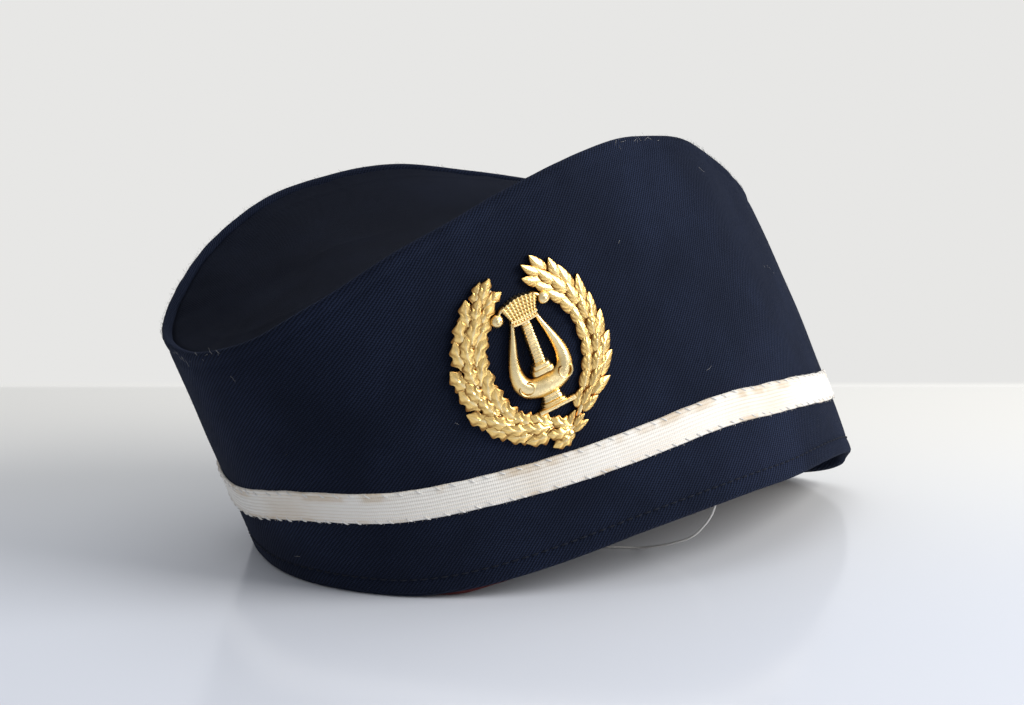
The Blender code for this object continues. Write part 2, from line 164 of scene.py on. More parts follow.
# Column, steps and foot of the lyre, in the same millimetres.
LYRE_PLATES = (
    # middle, half widths below and above, half height, thickness, ridges
    ((0.15, 2.4), (2.05, 1.65), 7.2, 2.6, 14),
    ((0.1, -4.7), (3.1, 2.9), 0.75, 3.3, 0),
    ((0.1, -6.2), (3.8, 3.6), 0.95, 3.5, 0),
    ((0.2, -14.8), (3.6, 3.0), 1.5, 2.6, 2),
    ((0.2, -16.7), (4.4, 3.9), 0.75, 2.9, 2),
)

# Angle round the wreath where both stems start, and angle short of the top where they end,
# in degrees.
FOOT_ANGLE = -82.0
TIP_ANGLE = 17.0

# The two branches: sizes in millimetres of the badge's plane, angles in radians.
Branch = namedtuple("Branch", "side lobes first spread unrest long wide offset roundness vein")
OAK = Branch(-1.0, 3, 0.84, 0.38, 0.13, 9.9, 5.9, 1.0, 0.62, 0.40)
LAUREL = Branch(1.0, 0, 0.58, 0.27, 0.06, 9.2, 4.7, 1.6, 0.75, 0.24)

# Half the side of the floor, in metres.
FLOOR_REACH = 6.0

# Soft lights: distance from the point looked at and width in metres, and the direction as
# shares to the right, nearer and up.
LIGHTS = (
    # name, distance, right, nearer, up, width, colour
    ("key", 1.15, 0.92, 0.26, 0.50, 0.75, (1.0, 0.985, 0.97)),
    ("top", 1.25, 0.15, -0.25, 1.0, 1.1, (0.95, 0.975, 1.0)),
)

# Loose thread, in metres.
THREAD_DIAMETER = 0.0007

# Loose thread from the hem to its free end, in millimetres of the frame.
THREAD_POINTS = (
    # x, y, z
    (-54.6, -38.2, 20.0),
    (-55.5, -37.4, 18.0),
    (-54.8, -36.4, 14.6),
    (-52.9, -34.8, 10.9),
    (-50.4, -32.7, 7.5),
    (-45.5, -28.8, 4.4),
    (-40.4, -25.2, 2.2),
    (-35.2, -21.4, 0.6),
    (-32.3, -16.4, 0.5),
    (-30.3, -12.9, 0.5),
    (-27.5, -9.5, 0.5),
)


def length(name, description, value):
    """A size in metres, given here in millimetres."""
    return FloatProperty(
        name=name,
        description=description,
        default=value * MM,
        precision=4,
        subtype="DISTANCE",
        unit="LENGTH",
    )


def number(name, description, value):
    """A plain number, share or strength."""
    return FloatProperty(name=name, description=description, default=value)


def tint(name, description, value):
    """A colour in linear light."""
    return FloatVectorProperty(
        name=name, description=description, default=value, size=3, subtype="COLOR", min=0.0, max=1.0
    )


class CapSizes(bpy.types.PropertyGroup):
    """Sizes of the wall that every ring of cloth and trim follows."""

    hem_front: length("Hem front", "Middle of the cap to the hem's front", 110.0)
    hem_back: length("Hem back", "Middle of the cap to the hem's back", 94.0)
    hem_half_width: length("Hem half width", "Middle of the cap to the hem's side", 67.0)
    front_sharpness: number("Front sharpness", "How pointed the hem's front is", 0.72)
    back_fullness: number("Back fullness", "How full the hem's back is", 0.44)
    rim_front: length("Rim front", "Middle of the cap to the rim's front", 110.0)
    rim_back: length("Rim back", "Middle of the cap to the rim's back", 94.0)
    rim_half_width: length("Rim half width", "Middle of the cap to the rim's side", 62.0)
    rim_height: length("Rim height", "Hem to the rim's highest point, up the wall", 106.0)
    rim_fold: length("Rim fold", "Radius of the rim's folded edge", 1.3)
    front_belly: length("Front belly", "How full the front is between hem and rim", 2.5)
    backward_lean: number("Backward lean", "Slope of the whole cap towards its back", 0.39)
    side_lean: number("Side lean", "Slope of the front towards the wearer's left", 0.14)
    near_lift: length("Near lift", "How far the badge side of the hem lifts", 23.0)
    twist_back: length("Twist back", "Station behind the middle where the side lean starts", 65.0)
    twist_length: length("Twist length", "Length over which the side lean grows", 130.0)
    front_inset: number("Front inset", "How much more the pointed front is set in", 1.3)
    band_thickness: length("Band thickness", "Twill and stiffening together", 2.6)
    gap: length("Gap", "Clearance between two pieces of the frame", 0.35)


class ClothLook(bpy.types.PropertyGroup):
    """Crown, twill and stitching."""

    crown_thickness: length("Crown thickness", "Cloth and stiffening of the crown", 1.8)
    crown_drop: length("Crown drop", "Rim to the crown's edge", 1.0)
    crown_sag: length("Crown sag", "How far the crown's middle line hangs", 13.0)
    crown_spine: number("Crown spine", "Length of the crown's middle line as a share", 0.6)
    crown_hollow: number("Crown hollow", "How steeply the crown leaves its edge", 1.7)
    seam_depth: length("Seam depth", "Depth of the groove round the crown", 1.0)
    twill_pitch: length("Twill pitch", "Distance between two twill lines", 0.85)
    stitch_height: length("Hem stitch height", "Hem to the stitch line", 5.4)
    stitch_pitch: length("Hem stitch pitch", "Start of one stitch to the next", 3.0)
    dark: tint("Twill shade", "Colour between the twill lines", (0.0038, 0.0055, 0.0115))
    light: tint("Twill crest", "Colour on the twill lines", (0.0165, 0.0240, 0.0520))
    lint: tint("Lint", "Colour of the fibres caught on the cloth", (0.45, 0.44, 0.42))
    red: tint("Inner band", "Colour of the red inner band", (0.13, 0.018, 0.022))


class RibbonLook(bpy.types.PropertyGroup):
    """Ribbon round the band."""

    height: length("Ribbon height", "Hem to the ribbon's lower edge, up the wall", 20.5)
    width: length("Ribbon width", "Across the ribbon", 9.2)
    ribs: IntProperty(name="Ribs", description="Lengthwise ribs across the ribbon", default=8)
    stitch_pitch: length("Ribbon stitch pitch", "One hand stitch to the next", 4.8)
    white: tint("White", "Colour of clean ribbon", (0.86, 0.83, 0.77))
    # Brown also paints the shade in the grooves between the ribs.
    brown: tint("Brown", "Colour of its stains", (0.50, 0.34, 0.16))


class BadgeLook(bpy.types.PropertyGroup):
    """Cast badge in its own plane, bent to the wall."""

    turn: number("Badge turn", "Turn of the badge's middle in degrees", 99.0)
    height: length("Badge height", "Hem to the badge's middle, up the wall", 61.5)
    tilt: number("Badge tilt", "Turn of the badge in its plane in degrees", 5.0)
    half_width: length("Wreath half width", "Middle line of the wreath, across", 19.4)
    half_height: length("Wreath half height", "Middle line of the wreath, up", 22.3)
    lowered: length("Wreath lowered", "How far the wreath's middle is below the lyre's", 1.2)
    foot_drop: length("Foot drop", "How far the stems drop where they meet", 3.6)
    rows: IntProperty(name="Leaf rows", description="Rows of leaves on each branch", default=11)
    gold: tint("Gilt", "Colour of the gilding", (0.95, 0.645, 0.225))
    # Pale paints a highlight on the badge's crests.
    pale: tint("Gilt highlight", "Colour of polished crests", (1.00, 0.80, 0.43))
    # Brown paints the shade in the badge's hollows.
    brown: tint("Hollow shade", "Colour in the hollows", (0.30, 0.14, 0.035))


class StageLook(bpy.types.PropertyGroup):
    """Floor, lights and camera."""

    azimuth: number("Azimuth", "Camera direction round the cap in degrees", 248.0)
    elevation: number("Elevation", "Camera direction above the floor in degrees", 13.0)
    distance: length("Distance", "Camera to the point that it looks at", 694.0)
    aim_height: length("Aim height", "Point looked at above the floor", 56.6)
    aim_right: length("Aim right", "Point looked at to the right of the middle", -11.2)
    lens: number("Lens", "Focal length for a 36 mm sensor", 77.34)
    key_power: number("Key power", "Watts of the large soft light from the right", 13.5)
    top_power: number("Top power", "Watts of the soft light from above", 3.2)
    world: number("World", "Strength of the even light from all round", 0.51)
    floor_end: length("Floor end", "Middle of the cap to the far edge of the near floor", 187.0)


def cap():
    """Sizes of the cap."""
    return bpy.context.scene.cap_sizes


def cloth():
    """Look of the cloth."""
    return bpy.context.scene.cap_cloth


def ribbon():
    """Look of the ribbon."""
    return bpy.context.scene.cap_ribbon


def badge():
    """Look of the badge."""
    return bpy.context.scene.cap_badge


def stage():
    """Look of the stage."""
    return bpy.context.scene.cap_stage


def smooth_step(value):
    """Rise smoothly from 0 to 1: three squares less two cubes of the value."""
    share = np.clip(value, 0.0, 1.0)
    return share * share * (3.0 - 2.0 * share)


def bump(distance, width):
    """Bell curve of the distance: one at zero, falling off over the width."""
    return np.exp(-((distance / width) ** 2))


def signed_turn(turn):
    """Bring a turn into the range from -180 to 180 degrees."""
    return (np.asarray(turn, float) + 180.0) % 360.0 - 180.0


def wander(turn, low, high, seed):
    """Mean of sines with whole numbers of waves round the cap, each with its own phase."""
    waves = np.arange(low, high + 1)
    draw = np.random.default_rng(seed)
    phases = draw.uniform(0.0, math.tau, len(waves))
    weights = draw.uniform(0.5, 1.0, len(waves))
    angles = np.radians(np.asarray(turn, float))[..., None] * waves + phases
    return (np.sin(angles) * weights).sum(-1) / np.sqrt(len(waves))


def through_sections(sections, column, turn, crosses=False):
    """Cubic through the rows of a table, whose slope at a row joins that row's neighbours."""
    table = np.array(sections, float)
    rows, values = table[:, 0], table[:, column]
    side = -1.0 if crosses else 1.0
    rows_beyond = np.concatenate([[-rows[1]], rows, [2.0 * rows[-1] - rows[-2]]])
    values_beyond = np.concatenate([[side * values[1]], values, [side * values[-2]]])
    slopes = (values_beyond[2:] - values_beyond[:-2]) / (rows_beyond[2:] - rows_beyond[:-2])
    index = np.clip(np.searchsorted(rows, turn, side="right") - 1, 0, len(rows) - 2)
    step = rows[index + 1] - rows[index]
    t = (turn - rows[index]) / step
    start = (1.0 + 2.0 * t) * (1.0 - t) ** 2 * values[index]
    leave = t * (1.0 - t) ** 2 * step * slopes[index]
    reach = t * t * (3.0 - 2.0 * t) * values[index + 1]
    arrive = t * t * (t - 1.0) * step * slopes[index + 1]
    return start + leave + reach + arrive


def hem_plan(turn, inset):
    """Station and side of the hem: a cosine along, a power of the sine across."""
    size = cap()
    along = np.cos(np.radians(turn))
    front = (size.hem_front - size.front_inset * inset) * along
    back = (size.hem_back - inset) * along
    sharper = 0.5 + (size.front_sharpness - 0.5) * smooth_step(1.25 * along)
    fuller = 0.5 + (size.back_fullness - 0.5) * smooth_step(-1.25 * along)
    power = np.where(along > 0.0, sharper, fuller)
    across = np.maximum(1.0 - along * along, 0.0) ** power
    side = (size.hem_half_width - inset) * across * np.sign(np.sin(np.radians(turn)))
    return np.where(along > 0.0, front, back), side


def rim_plan(turn, inset):
    """Station, side and height of the rim, read from its sections."""
    size = cap()
    signed = signed_turn(turn)
    unsigned = np.abs(signed)
    station = through_sections(RIM_SECTIONS, 1, unsigned)
    front = station * (size.rim_front - size.front_inset * inset)
    back = station * (size.rim_back - inset)
    share = through_sections(RIM_SECTIONS, 2, unsigned, crosses=True)
    side = share * (size.rim_half_width - inset) * np.sign(signed)
    near = through_sections(RIM_SECTIONS, 3, unsigned)
    far = through_sections(RIM_SECTIONS, 4, unsigned)
    height = size.rim_height * np.where(signed >= 0.0, near, far)
    return np.where(station > 0.0, front, back), side, height


def rim_height(turn):
    """Height of the rim up the wall."""
    return rim_plan(turn, 0.0)[2]


def near_lift(turn):
    """Height by which the twisted hem stands off the floor: one rise and one fall."""
    signed = signed_turn(turn)
    start, full, sink, flat = LIFT_TURNS
    rise = smooth_step((signed - start) / (full - start))
    fall = smooth_step((signed - sink) / (flat - sink))
    return cap().near_lift * rise * (1.0 - fall)


def leaning_wall(turn, height, inset):
    """Wall about the cap's own middle: a straight line from hem to rim with a slight
    belly in front, slid back and sideways in proportion to the height, then lifted."""
    size = cap()
    hem_station, hem_side = hem_plan(turn, inset)
    rim_station, rim_side, top = rim_plan(turn, inset)
    share = height / top
    belly = size.front_belly * 4.0 * share * (1.0 - share)
    belly = belly * np.maximum(np.cos(np.radians(turn)), 0.0)
    station = hem_station + (rim_station - hem_station) * share + belly
    station = station - size.backward_lean * height
    twist = smooth_step((hem_station + size.twist_back) / size.twist_length)
    side = hem_side + (rim_side - hem_side) * share - size.side_lean * twist * height
    level = height + near_lift(turn)
    x, y, z = np.broadcast_arrays(-side, -station, level)
    return np.stack([x, y, z], axis=-1)


def frame_offset():
    """Step from the wall's own middle to the frame: the difference of the two box centres."""
    turn = np.arange(FRAME_COLUMNS) * 360.0 / FRAME_COLUMNS
    top = rim_height(turn)
    rings = [leaning_wall(turn, share * top, 0.0) for share in np.linspace(0.0, 0.99, 34)]
    own = np.concatenate(rings)
    low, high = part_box("side_band")
    middle = 0.5 * (np.array(low) + np.array(high))
    step = middle - 0.5 * (own.min(0) + own.max(0))
    step[2] = 0.0
    return step


def wall_point(turn, height, inset=0.0):
    """Point of the wall in the frame."""
    return leaning_wall(np.asarray(turn, float), height, inset) + frame_offset()


def ribbon_low(turn):
    """Height of the ribbon's lower edge, read from its sections."""
    share = through_sections(RIBBON_SECTIONS, 1, np.abs(signed_turn(turn)))
    return ribbon().height * share


def unit(vectors):
    """Vectors divided by their lengths."""
    return vectors / np.maximum(np.linalg.norm(vectors, axis=-1, keepdims=True), 1e-12)


def wall_frame(turn, height, inset=0.0):
    """Point, direction along the wall, direction up it and outward normal, from differences."""
    place = wall_point(turn, height, inset)
    along = unit(wall_point(turn + 0.2, height, inset) - wall_point(turn - 0.2, height, inset))
    up = unit(wall_point(turn, height + 0.2 * MM, inset) - place)
    out = unit(np.cross(up, along))
    return place, along, up, out


def make_piece(name, mesh, finish, slot, *replaced, sharp=50.0):
    """Dress a mesh as a named piece that rides with the cap."""
    mesh.materials.append(finish)
    mesh.shade_smooth()
    mesh.set_sharp_from_angle(angle=math.radians(sharp))
    piece = bpy.data.objects.new(name, mesh)
    bpy.context.scene.collection.objects.link(piece)
    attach(piece, "root")
    if replaced:
        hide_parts(*replaced)
    return piece


def outward(mesh):
    """Merge points that coincide and turn all faces out."""
    shell = bmesh.new()
    shell.from_mesh(mesh)
    bmesh.ops.remove_doubles(shell, verts=shell.verts, dist=0.000002)
    bmesh.ops.recalc_face_normals(shell, faces=shell.faces)
    shell.to_mesh(mesh)
    shell.free()
    return mesh


def grid_mesh(name, points, uv, skip_row=None):
    """Quads over a grid whose columns and rows both close, less the row of quads to skip.

    uv has one more row and one more column than points.
    """
    rows, columns = points.shape[:2]
    row = np.arange(rows)[:, None]
    column = np.arange(columns)[None, :]
    corners = ((0, 0), (0, 1), (1, 1), (1, 0))
    index = [((row + r) % rows) * columns + (column + c) % columns for r, c in corners]
    loops = [uv[row + r, column + c] for r, c in corners]
    faces = np.stack(index, axis=-1)
    places = np.stack(loops, axis=-2)
    if skip_row is not None:
        faces = np.delete(faces, skip_row, axis=0)
        places = np.delete(places, skip_row, axis=0)
    mesh = bpy.data.meshes.new(name)
    mesh.from_pydata(points.reshape(-1, 3).tolist(), [], faces.reshape(-1, 4).tolist())
    layer = mesh.uv_layers.new(name="UVMap")
    layer.data.foreach_set("uv", places.reshape(-1).astype(np.float32))
    return mesh


def ring_uv(points, mid_row):
    """Metres along the middle row and metres up each column from the first row."""
    round_points = np.concatenate([points, points[:, :1]], axis=1)
    steps = np.linalg.norm(np.diff(round_points[mid_row], axis=0), axis=1)
    along = np.concatenate([[0.0], np.cumsum(steps)])
    closed = np.concatenate([round_points, round_points[:1]], axis=0)
    climbs = np.linalg.norm(np.diff(closed, axis=0), axis=2)
    up = np.concatenate([np.zeros((1, closed.shape[1])), np.cumsum(climbs, axis=0)])
    return np.stack([np.broadcast_to(along, up.shape), up], axis=-1)


def tubes(name, paths, profile, sides):
    """Round tubes along many paths at once: rings square to each path, with capped ends.

    The profile holds a tube's radius at each knot, in millimetres.
    """
    count, knots = paths.shape[:2]
    tangent = unit(np.gradient(paths, axis=1))
    helper = np.where(np.abs(tangent[..., 2:]) < 0.9, [[[0.0, 0.0, 1.0]]], [[[1.0, 0.0, 0.0]]])
    side = unit(np.cross(tangent, helper))
    over = np.cross(side, tangent)
    angle = np.arange(sides) * math.tau / sides
    ring = side[:, :, None] * np.cos(angle)[:, None] + over[:, :, None] * np.sin(angle)[:, None]
    points = paths[:, :, None] + ring * (np.array(profile)[:, None, None] * MM)
    strand = np.arange(count)[:, None, None] * knots * sides
    knot = np.arange(knots - 1)[None, :, None] * sides
    corner = np.arange(sides)[None, None, :]
    after = (corner + 1) % sides
    quads = [strand + knot + corner, strand + knot + after]
    quads += [strand + knot + sides + after, strand + knot + sides + corner]
    faces = np.stack(quads, axis=-1).reshape(-1, 4).tolist()
    start = (strand[:, 0] + np.arange(sides)).tolist()
    end = (strand[:, 0] + (knots - 1) * sides + np.arange(sides)[::-1]).tolist()
    mesh = bpy.data.meshes.new(name)
    mesh.from_pydata(points.reshape(-1, 3).tolist(), [], faces + start + end)
    return outward(mesh)


class Nodes:
    """Short way to lay nodes in one material."""

    def __init__(self, name, colour, **inputs):
        self.finish = bpy.data.materials.new(name)
        self.finish.use_nodes = True
        self.tree = self.finish.node_tree
        self.shader = self.tree.nodes["Principled BSDF"]
        self.set(self.shader, Base_Color=(*colour, 1.0), **inputs)

    def set(self, node, **values):
        """Give constant values to a node's sockets, named with _ in place of spaces."""
        for name, value in values.items():
            node.inputs[name.replace("_", " ")].default_value = value
        return node

    def add(self, kind, settings=None, **links):
        """Add a node, its settings, and its sockets as links or constants by position."""
        node = self.tree.nodes.new(kind)
        for name, value in (settings or {}).items():
            setattr(node, name, value)
        for name, value in links.items():
            key = int(name[1:]) if name[0] == "i" and name[1:].isdigit() else name
            self.plug(node.inputs[key], value)
        return node

    def plug(self, socket, value):
        """Link an output to the socket, or set the socket's constant."""
        if isinstance(value, bpy.types.NodeSocket):
            self.tree.links.new(value, socket)
        else:
            socket.default_value = value

    def math(self, operation, first, second=0.0):
        """One sum of two values."""
        node = self.add("ShaderNodeMath", {"operation": operation}, i0=first, i1=second)
        return node.outputs[0]

    def ramp(self, value, low, high, bottom=0.0, top=1.0):
        """Smooth rise of a value between two limits."""
        settings = {"interpolation_type": "SMOOTHSTEP", "clamp": True}
        node = self.add("ShaderNodeMapRange", settings, i0=value, i1=low, i2=high, i3=bottom, i4=top)
        return node.outputs[0]

    def blend(self, share, first, second):
        """Mix of two colours."""
        node = self.add("ShaderNodeMix", {"data_type": "RGBA"}, i0=share)
        for socket, colour in ((node.inputs[6], first), (node.inputs[7], second)):
            is_link = isinstance(colour, bpy.types.NodeSocket)
            self.plug(socket, colour if is_link else (*colour, 1.0))
        return node.outputs[2]

    def noise(self, where, scale, detail=2.0, roughness=0.5):
        """Value of a noise pattern."""
        node = self.add("ShaderNodeTexNoise", None, Vector=where)
        self.set(node, Scale=scale, Detail=detail, Roughness=roughness)
        return node.outputs["Fac"]

    def raise_normal(self, height, depth, strength=1.0):
        """Bump of a given depth in metres on the shader's normal."""
        node = self.add("ShaderNodeBump", None, Height=height)
        self.set(node, Distance=depth, Strength=strength)
        self.plug(self.shader.inputs["Normal"], node.outputs[0])


def twill_finish(name, angle, light=1.0):
    """Navy twill: slanted lines across the UV map, broken by yarn noise, worn in patches.

    The light share makes a piece darker than the rest: painted shade for a piece that lies in shade, such as
    the crown under the rim.
    """
    # Painted shade: the light share scales both twill colours and the sheen.
    look = cloth()
    dark = tuple(light * part for part in look.dark)
    crest_tint = tuple(light * part for part in look.light)
    nodes = Nodes(name, dark, Roughness=0.9, Specular_IOR_Level=0.05)
    nodes.set(nodes.shader, Sheen_Weight=0.055 * light, Sheen_Roughness=0.5)
    nodes.set(nodes.shader, Sheen_Tint=(0.55, 0.65, 1.0, 1.0))
    place = nodes.add("ShaderNodeTexCoord")
    turned = nodes.add("ShaderNodeMapping", None, Vector=place.outputs["UV"])
    nodes.set(turned, Rotation=(0.0, 0.0, math.radians(angle)))
    parts = nodes.add("ShaderNodeSeparateXYZ", None, i0=turned.outputs[0])
    slub = nodes.noise(turned.outputs[0], 900.0, 3.0)
    across = nodes.math("MULTIPLY", parts.outputs[0], math.tau / look.twill_pitch)
    phase = nodes.math("ADD", across, nodes.math("MULTIPLY", slub, 2.2))
    line = nodes.math("SINE", phase)
    along = nodes.math("MULTIPLY", parts.outputs[1], math.tau / (0.9 * look.twill_pitch))
    yarn = nodes.math("SINE", nodes.math("ADD", along, nodes.math("MULTIPLY", phase, 0.5)))
    weave = nodes.math("ADD", line, nodes.math("MULTIPLY", yarn, 0.45))
    fuzz = nodes.noise(place.outputs["Object"], 2600.0, 4.0, 0.65)
    height = nodes.math("ADD", weave, nodes.math("MULTIPLY", fuzz, 1.6))
    nodes.raise_normal(height, 0.11 * MM, 0.9)
    crest = nodes.ramp(height, -0.6, 2.2)
    wear = nodes.noise(place.outputs["Object"], 26.0, 4.0, 0.6)
    worn = nodes.ramp(wear, 0.35, 0.75, 0.35, 1.0)
    shade = nodes.blend(nodes.math("MULTIPLY", crest, worn), dark, crest_tint)
    specks = nodes.add("ShaderNodeTexVoronoi", None, Vector=place.outputs["Object"])
    nodes.set(specks, Scale=130.0)
    speck = nodes.ramp(specks.outputs["Distance"], 0.035, 0.012)
    rare = nodes.ramp(specks.outputs["Color"], 0.80, 0.82)
    lint = nodes.math("MULTIPLY", nodes.math("MULTIPLY", speck, rare), 0.35)
    nodes.plug(nodes.shader.inputs["Base Color"], nodes.blend(lint, shade, look.lint))
    return nodes.finish


def thread_finish(name, colour, pitch, shine=0.2):
    """Twisted thread: fine ridges in object space, with its own share of sheen and shine."""
    nodes = Nodes(name, colour, Roughness=0.75, Sheen_Weight=shine, Specular_IOR_Level=shine)
    place = nodes.add("ShaderNodeTexCoord")
    twist = nodes.noise(place.outputs["Object"], 1.0 / pitch, 2.0)
    nodes.raise_normal(twist, 0.06 * MM)
    darker = tuple(0.62 * part for part in colour)
    nodes.plug(nodes.shader.inputs["Base Color"], nodes.blend(twist, darker, colour))
    return nodes.finish


def ribbon_finish():
    """Ribbed tape: weft ridges along the UV map, browned edges and scattered stains, and painted shade in
    brown in the grooves between its ribs.
    """
    look = ribbon()
    nodes = Nodes("white_ribbon", look.white, Roughness=0.78, Sheen_Weight=0.15)
    nodes.set(nodes.shader, Specular_IOR_Level=0.25)
    place = nodes.add("ShaderNodeTexCoord")
    parts = nodes.add("ShaderNodeSeparateXYZ", None, i0=place.outputs["UV"])
    weft = nodes.math("SINE", nodes.math("MULTIPLY", parts.outputs[0], math.tau / (0.62 * MM)))
    fuzz = nodes.noise(place.outputs["Object"], 2400.0, 3.0, 0.6)
    height = nodes.math("ADD", nodes.math("MULTIPLY", weft, 0.35), nodes.math("MULTIPLY", fuzz, 1.3))
    nodes.raise_normal(height, 0.10 * MM, 0.7)
    share = nodes.math("DIVIDE", parts.outputs[1], look.width)
    aside = nodes.math("ABSOLUTE", nodes.math("SUBTRACT", share, 0.5))
    rib = nodes.math("COSINE", nodes.math("MULTIPLY", share, math.tau * look.ribs))
    # Painted shade: the grooves between the ribs turn brown.
    groove = nodes.ramp(rib, 0.5, 1.0, 0.0, 0.22)
    patch = nodes.noise(place.outputs["Object"], 85.0, 3.0, 0.6)
    edge = nodes.math("MULTIPLY", nodes.ramp(aside, 0.24, 0.44), nodes.ramp(patch, 0.45, 0.66))
    spots = nodes.noise(place.outputs["Object"], 170.0, 2.0, 0.5)
    spot = nodes.ramp(spots, 0.70, 0.80, 0.0, 0.75)
    cloud = nodes.ramp(nodes.noise(place.outputs["Object"], 30.0, 3.0), 0.42, 0.80, 0.0, 0.30)
    # Real stains on the edges, in spots and in clouds, with the painted shade of the grooves added.
    stains_and_groove_shade = nodes.math("MAXIMUM", nodes.math("MULTIPLY", edge, 0.42), spot)
    stains_and_groove_shade = nodes.math("ADD", nodes.math("ADD", stains_and_groove_shade, cloud), groove)
    stains_and_groove_shade = nodes.math("MINIMUM", stains_and_groove_shade, 0.85)
    nodes.plug(nodes.shader.inputs["Base Color"], nodes.blend(stains_and_groove_shade, look.white, look.brown))
    return nodes.finish


def red_finish():
    """Plain red cloth with a small square weave."""
    look = cloth()
    nodes = Nodes("red_lining", look.red, Roughness=0.85, Sheen_Weight=0.2)
    nodes.set(nodes.shader, Specular_IOR_Level=0.2)
    place = nodes.add("ShaderNodeTexCoord")
    parts = nodes.add("ShaderNodeSeparateXYZ", None, i0=place.outputs["UV"])
    turns = [nodes.math("MULTIPLY", part, math.tau / (0.5 * MM)) for part in parts.outputs[:2]]
    weave = nodes.math("MULTIPLY", nodes.math("SINE", turns[0]), nodes.math("SINE", turns[1]))
    fuzz = nodes.noise(place.outputs["Object"], 1800.0, 3.0)
    height = nodes.math("ADD", weave, fuzz)
    nodes.raise_normal(height, 0.08 * MM)
    dark = tuple(0.45 * part for part in look.red)
    nodes.plug(nodes.shader.inputs["Base Color"], nodes.blend(nodes.ramp(height, -0.8, 1.4), dark, look.red))
    return nodes.finish


def gilt_finish():
    """Gilt brass: painted shade in brown in the hollows, painted highlight as paler crests, uneven polish
    and fine casting.
    """
    look = badge()
    nodes = Nodes("gilt_metal", look.gold, Roughness=0.3, Metallic=1.0)
    place = nodes.add("ShaderNodeTexCoord")
    relief = nodes.add("ShaderNodeAttribute", {"attribute_name": "relief"})
    cast = nodes.noise(place.outputs["Object"], 1500.0, 3.0, 0.6)
    patch = nodes.noise(place.outputs["Object"], 220.0, 3.0)
    level = nodes.math("ADD", relief.outputs["Fac"], nodes.math("MULTIPLY", cast, 0.30))
    # Painted shade: low relief turns brown.
    hollow = nodes.ramp(level, 0.30, 0.76)
    # Painted highlight: high relief turns pale.
    crest = nodes.ramp(level, 0.75, 1.15)
    gold = nodes.blend(hollow, look.brown, look.gold)
    nodes.plug(nodes.shader.inputs["Base Color"], nodes.blend(crest, gold, look.pale))
    nodes.plug(nodes.shader.inputs["Roughness"], nodes.ramp(patch, 0.25, 0.75, 0.20, 0.36))
    nodes.raise_normal(cast, 0.10 * MM, 0.55)
    return nodes.finish


def band_rows(top):
    """Heights up the outer face, finer at the hem and at the rim."""
    hem = np.linspace(HEM_ROUND, FINE_HEM, 17) * MM
    share = np.linspace(0.0, 1.0, 50)[1:-1]
    rim = np.linspace(FINE_RIM, HEM_ROUND, 13) * MM
    rows = [np.full_like(top, height) for height in hem]
    rows += [FINE_HEM * MM + (top - (FINE_HEM + FINE_RIM) * MM) * part for part in share]
    rows += [top - below for below in rim]
    return np.stack(rows)


def band_relief(turn, height, top, metres):
    """Outward relief of the twill wall: slow waves, a padded hem below its stitch groove with
    one dimple a stitch, and a bead below the rim with a soft crease under it."""
    look = cloth()
    waves = 0.20 * wander(turn, 3, 9, 11) + 0.13 * wander(turn + 900.0 * height, 8, 17, 12)
    fade = smooth_step(height / (12.0 * MM)) * smooth_step((top - height) / (10.0 * MM))
    relief = waves * fade
    from_stitch = height - look.stitch_height
    relief += 0.16 * bump(height - 0.5 * look.stitch_height, 2.0 * MM)
    dimple = 0.5 + 0.5 * np.cos(math.tau * metres / look.stitch_pitch)
    relief -= (0.20 + 0.22 * dimple) * bump(from_stitch, 0.65 * MM)
    below = top - height
    relief += 0.22 * bump(below - 2.0 * MM, 1.3 * MM) - 0.22 * bump(below - 4.6 * MM, 0.9 * MM)
    relief += 0.10 * wander(turn, 40, 70, 13) * bump(below - 3.0 * MM, 4.0 * MM)
    return relief * MM


def hem_metres(turn):
    """Distance round the hem up to each turn, by adding chords, in whole stitches."""
    fine = np.linspace(0.0, 360.0, 1441)
    line = wall_point(fine, cloth().stitch_height)
    steps = np.linalg.norm(np.diff(line, axis=0), axis=1)
    total = np.concatenate([[0.0], np.cumsum(steps)])
    whole = round(total[-1] / cloth().stitch_pitch) * cloth().stitch_pitch
    return np.interp(turn, fine, total * whole / total[-1])


def make_band():
    """Twill wall as one closed ring: outer face, rounded rim, inner face, rounded hem."""
    size = cap()
    turn = np.arange(BAND_COLUMNS) * 360.0 / BAND_COLUMNS
    top = rim_height(turn)
    metres = hem_metres(turn)
    outer = band_rows(top)
    points = []
    for height in outer:
        points.append(wall_point(turn, height, -band_relief(turn, height, top, metres)))
    half = 0.5 * size.band_thickness
    edge = -band_relief(turn, outer[-1], top, metres)
    for angle in np.linspace(0.0, np.pi, 11)[1:-1]:
        reach = half * (1.0 - math.cos(angle)) + edge * (1.0 - angle / math.pi)
        points.append(wall_point(turn, top - size.rim_fold * (1.0 - math.sin(angle)), reach))
    for share in np.linspace(1.0, 0.0, 9):
        height = HEM_ROUND * MM + (top - HEM_ROUND * MM - size.rim_fold) * share
        points.append(wall_point(turn, height, size.band_thickness))
    for angle in np.linspace(0.0, np.pi, 7)[1:-1]:
        reach = half * (1.0 + math.cos(angle))
        points.append(wall_point(turn, HEM_ROUND * MM * (1.0 - math.sin(angle)), reach))
    points = np.stack(points)
    mesh = grid_mesh("band_cloth", points, ring_uv(points, 30))
    finish = twill_finish("navy_twill", -45.0)
    return make_piece("band_cloth", outward(mesh), finish, "navy_twill", "side_band")


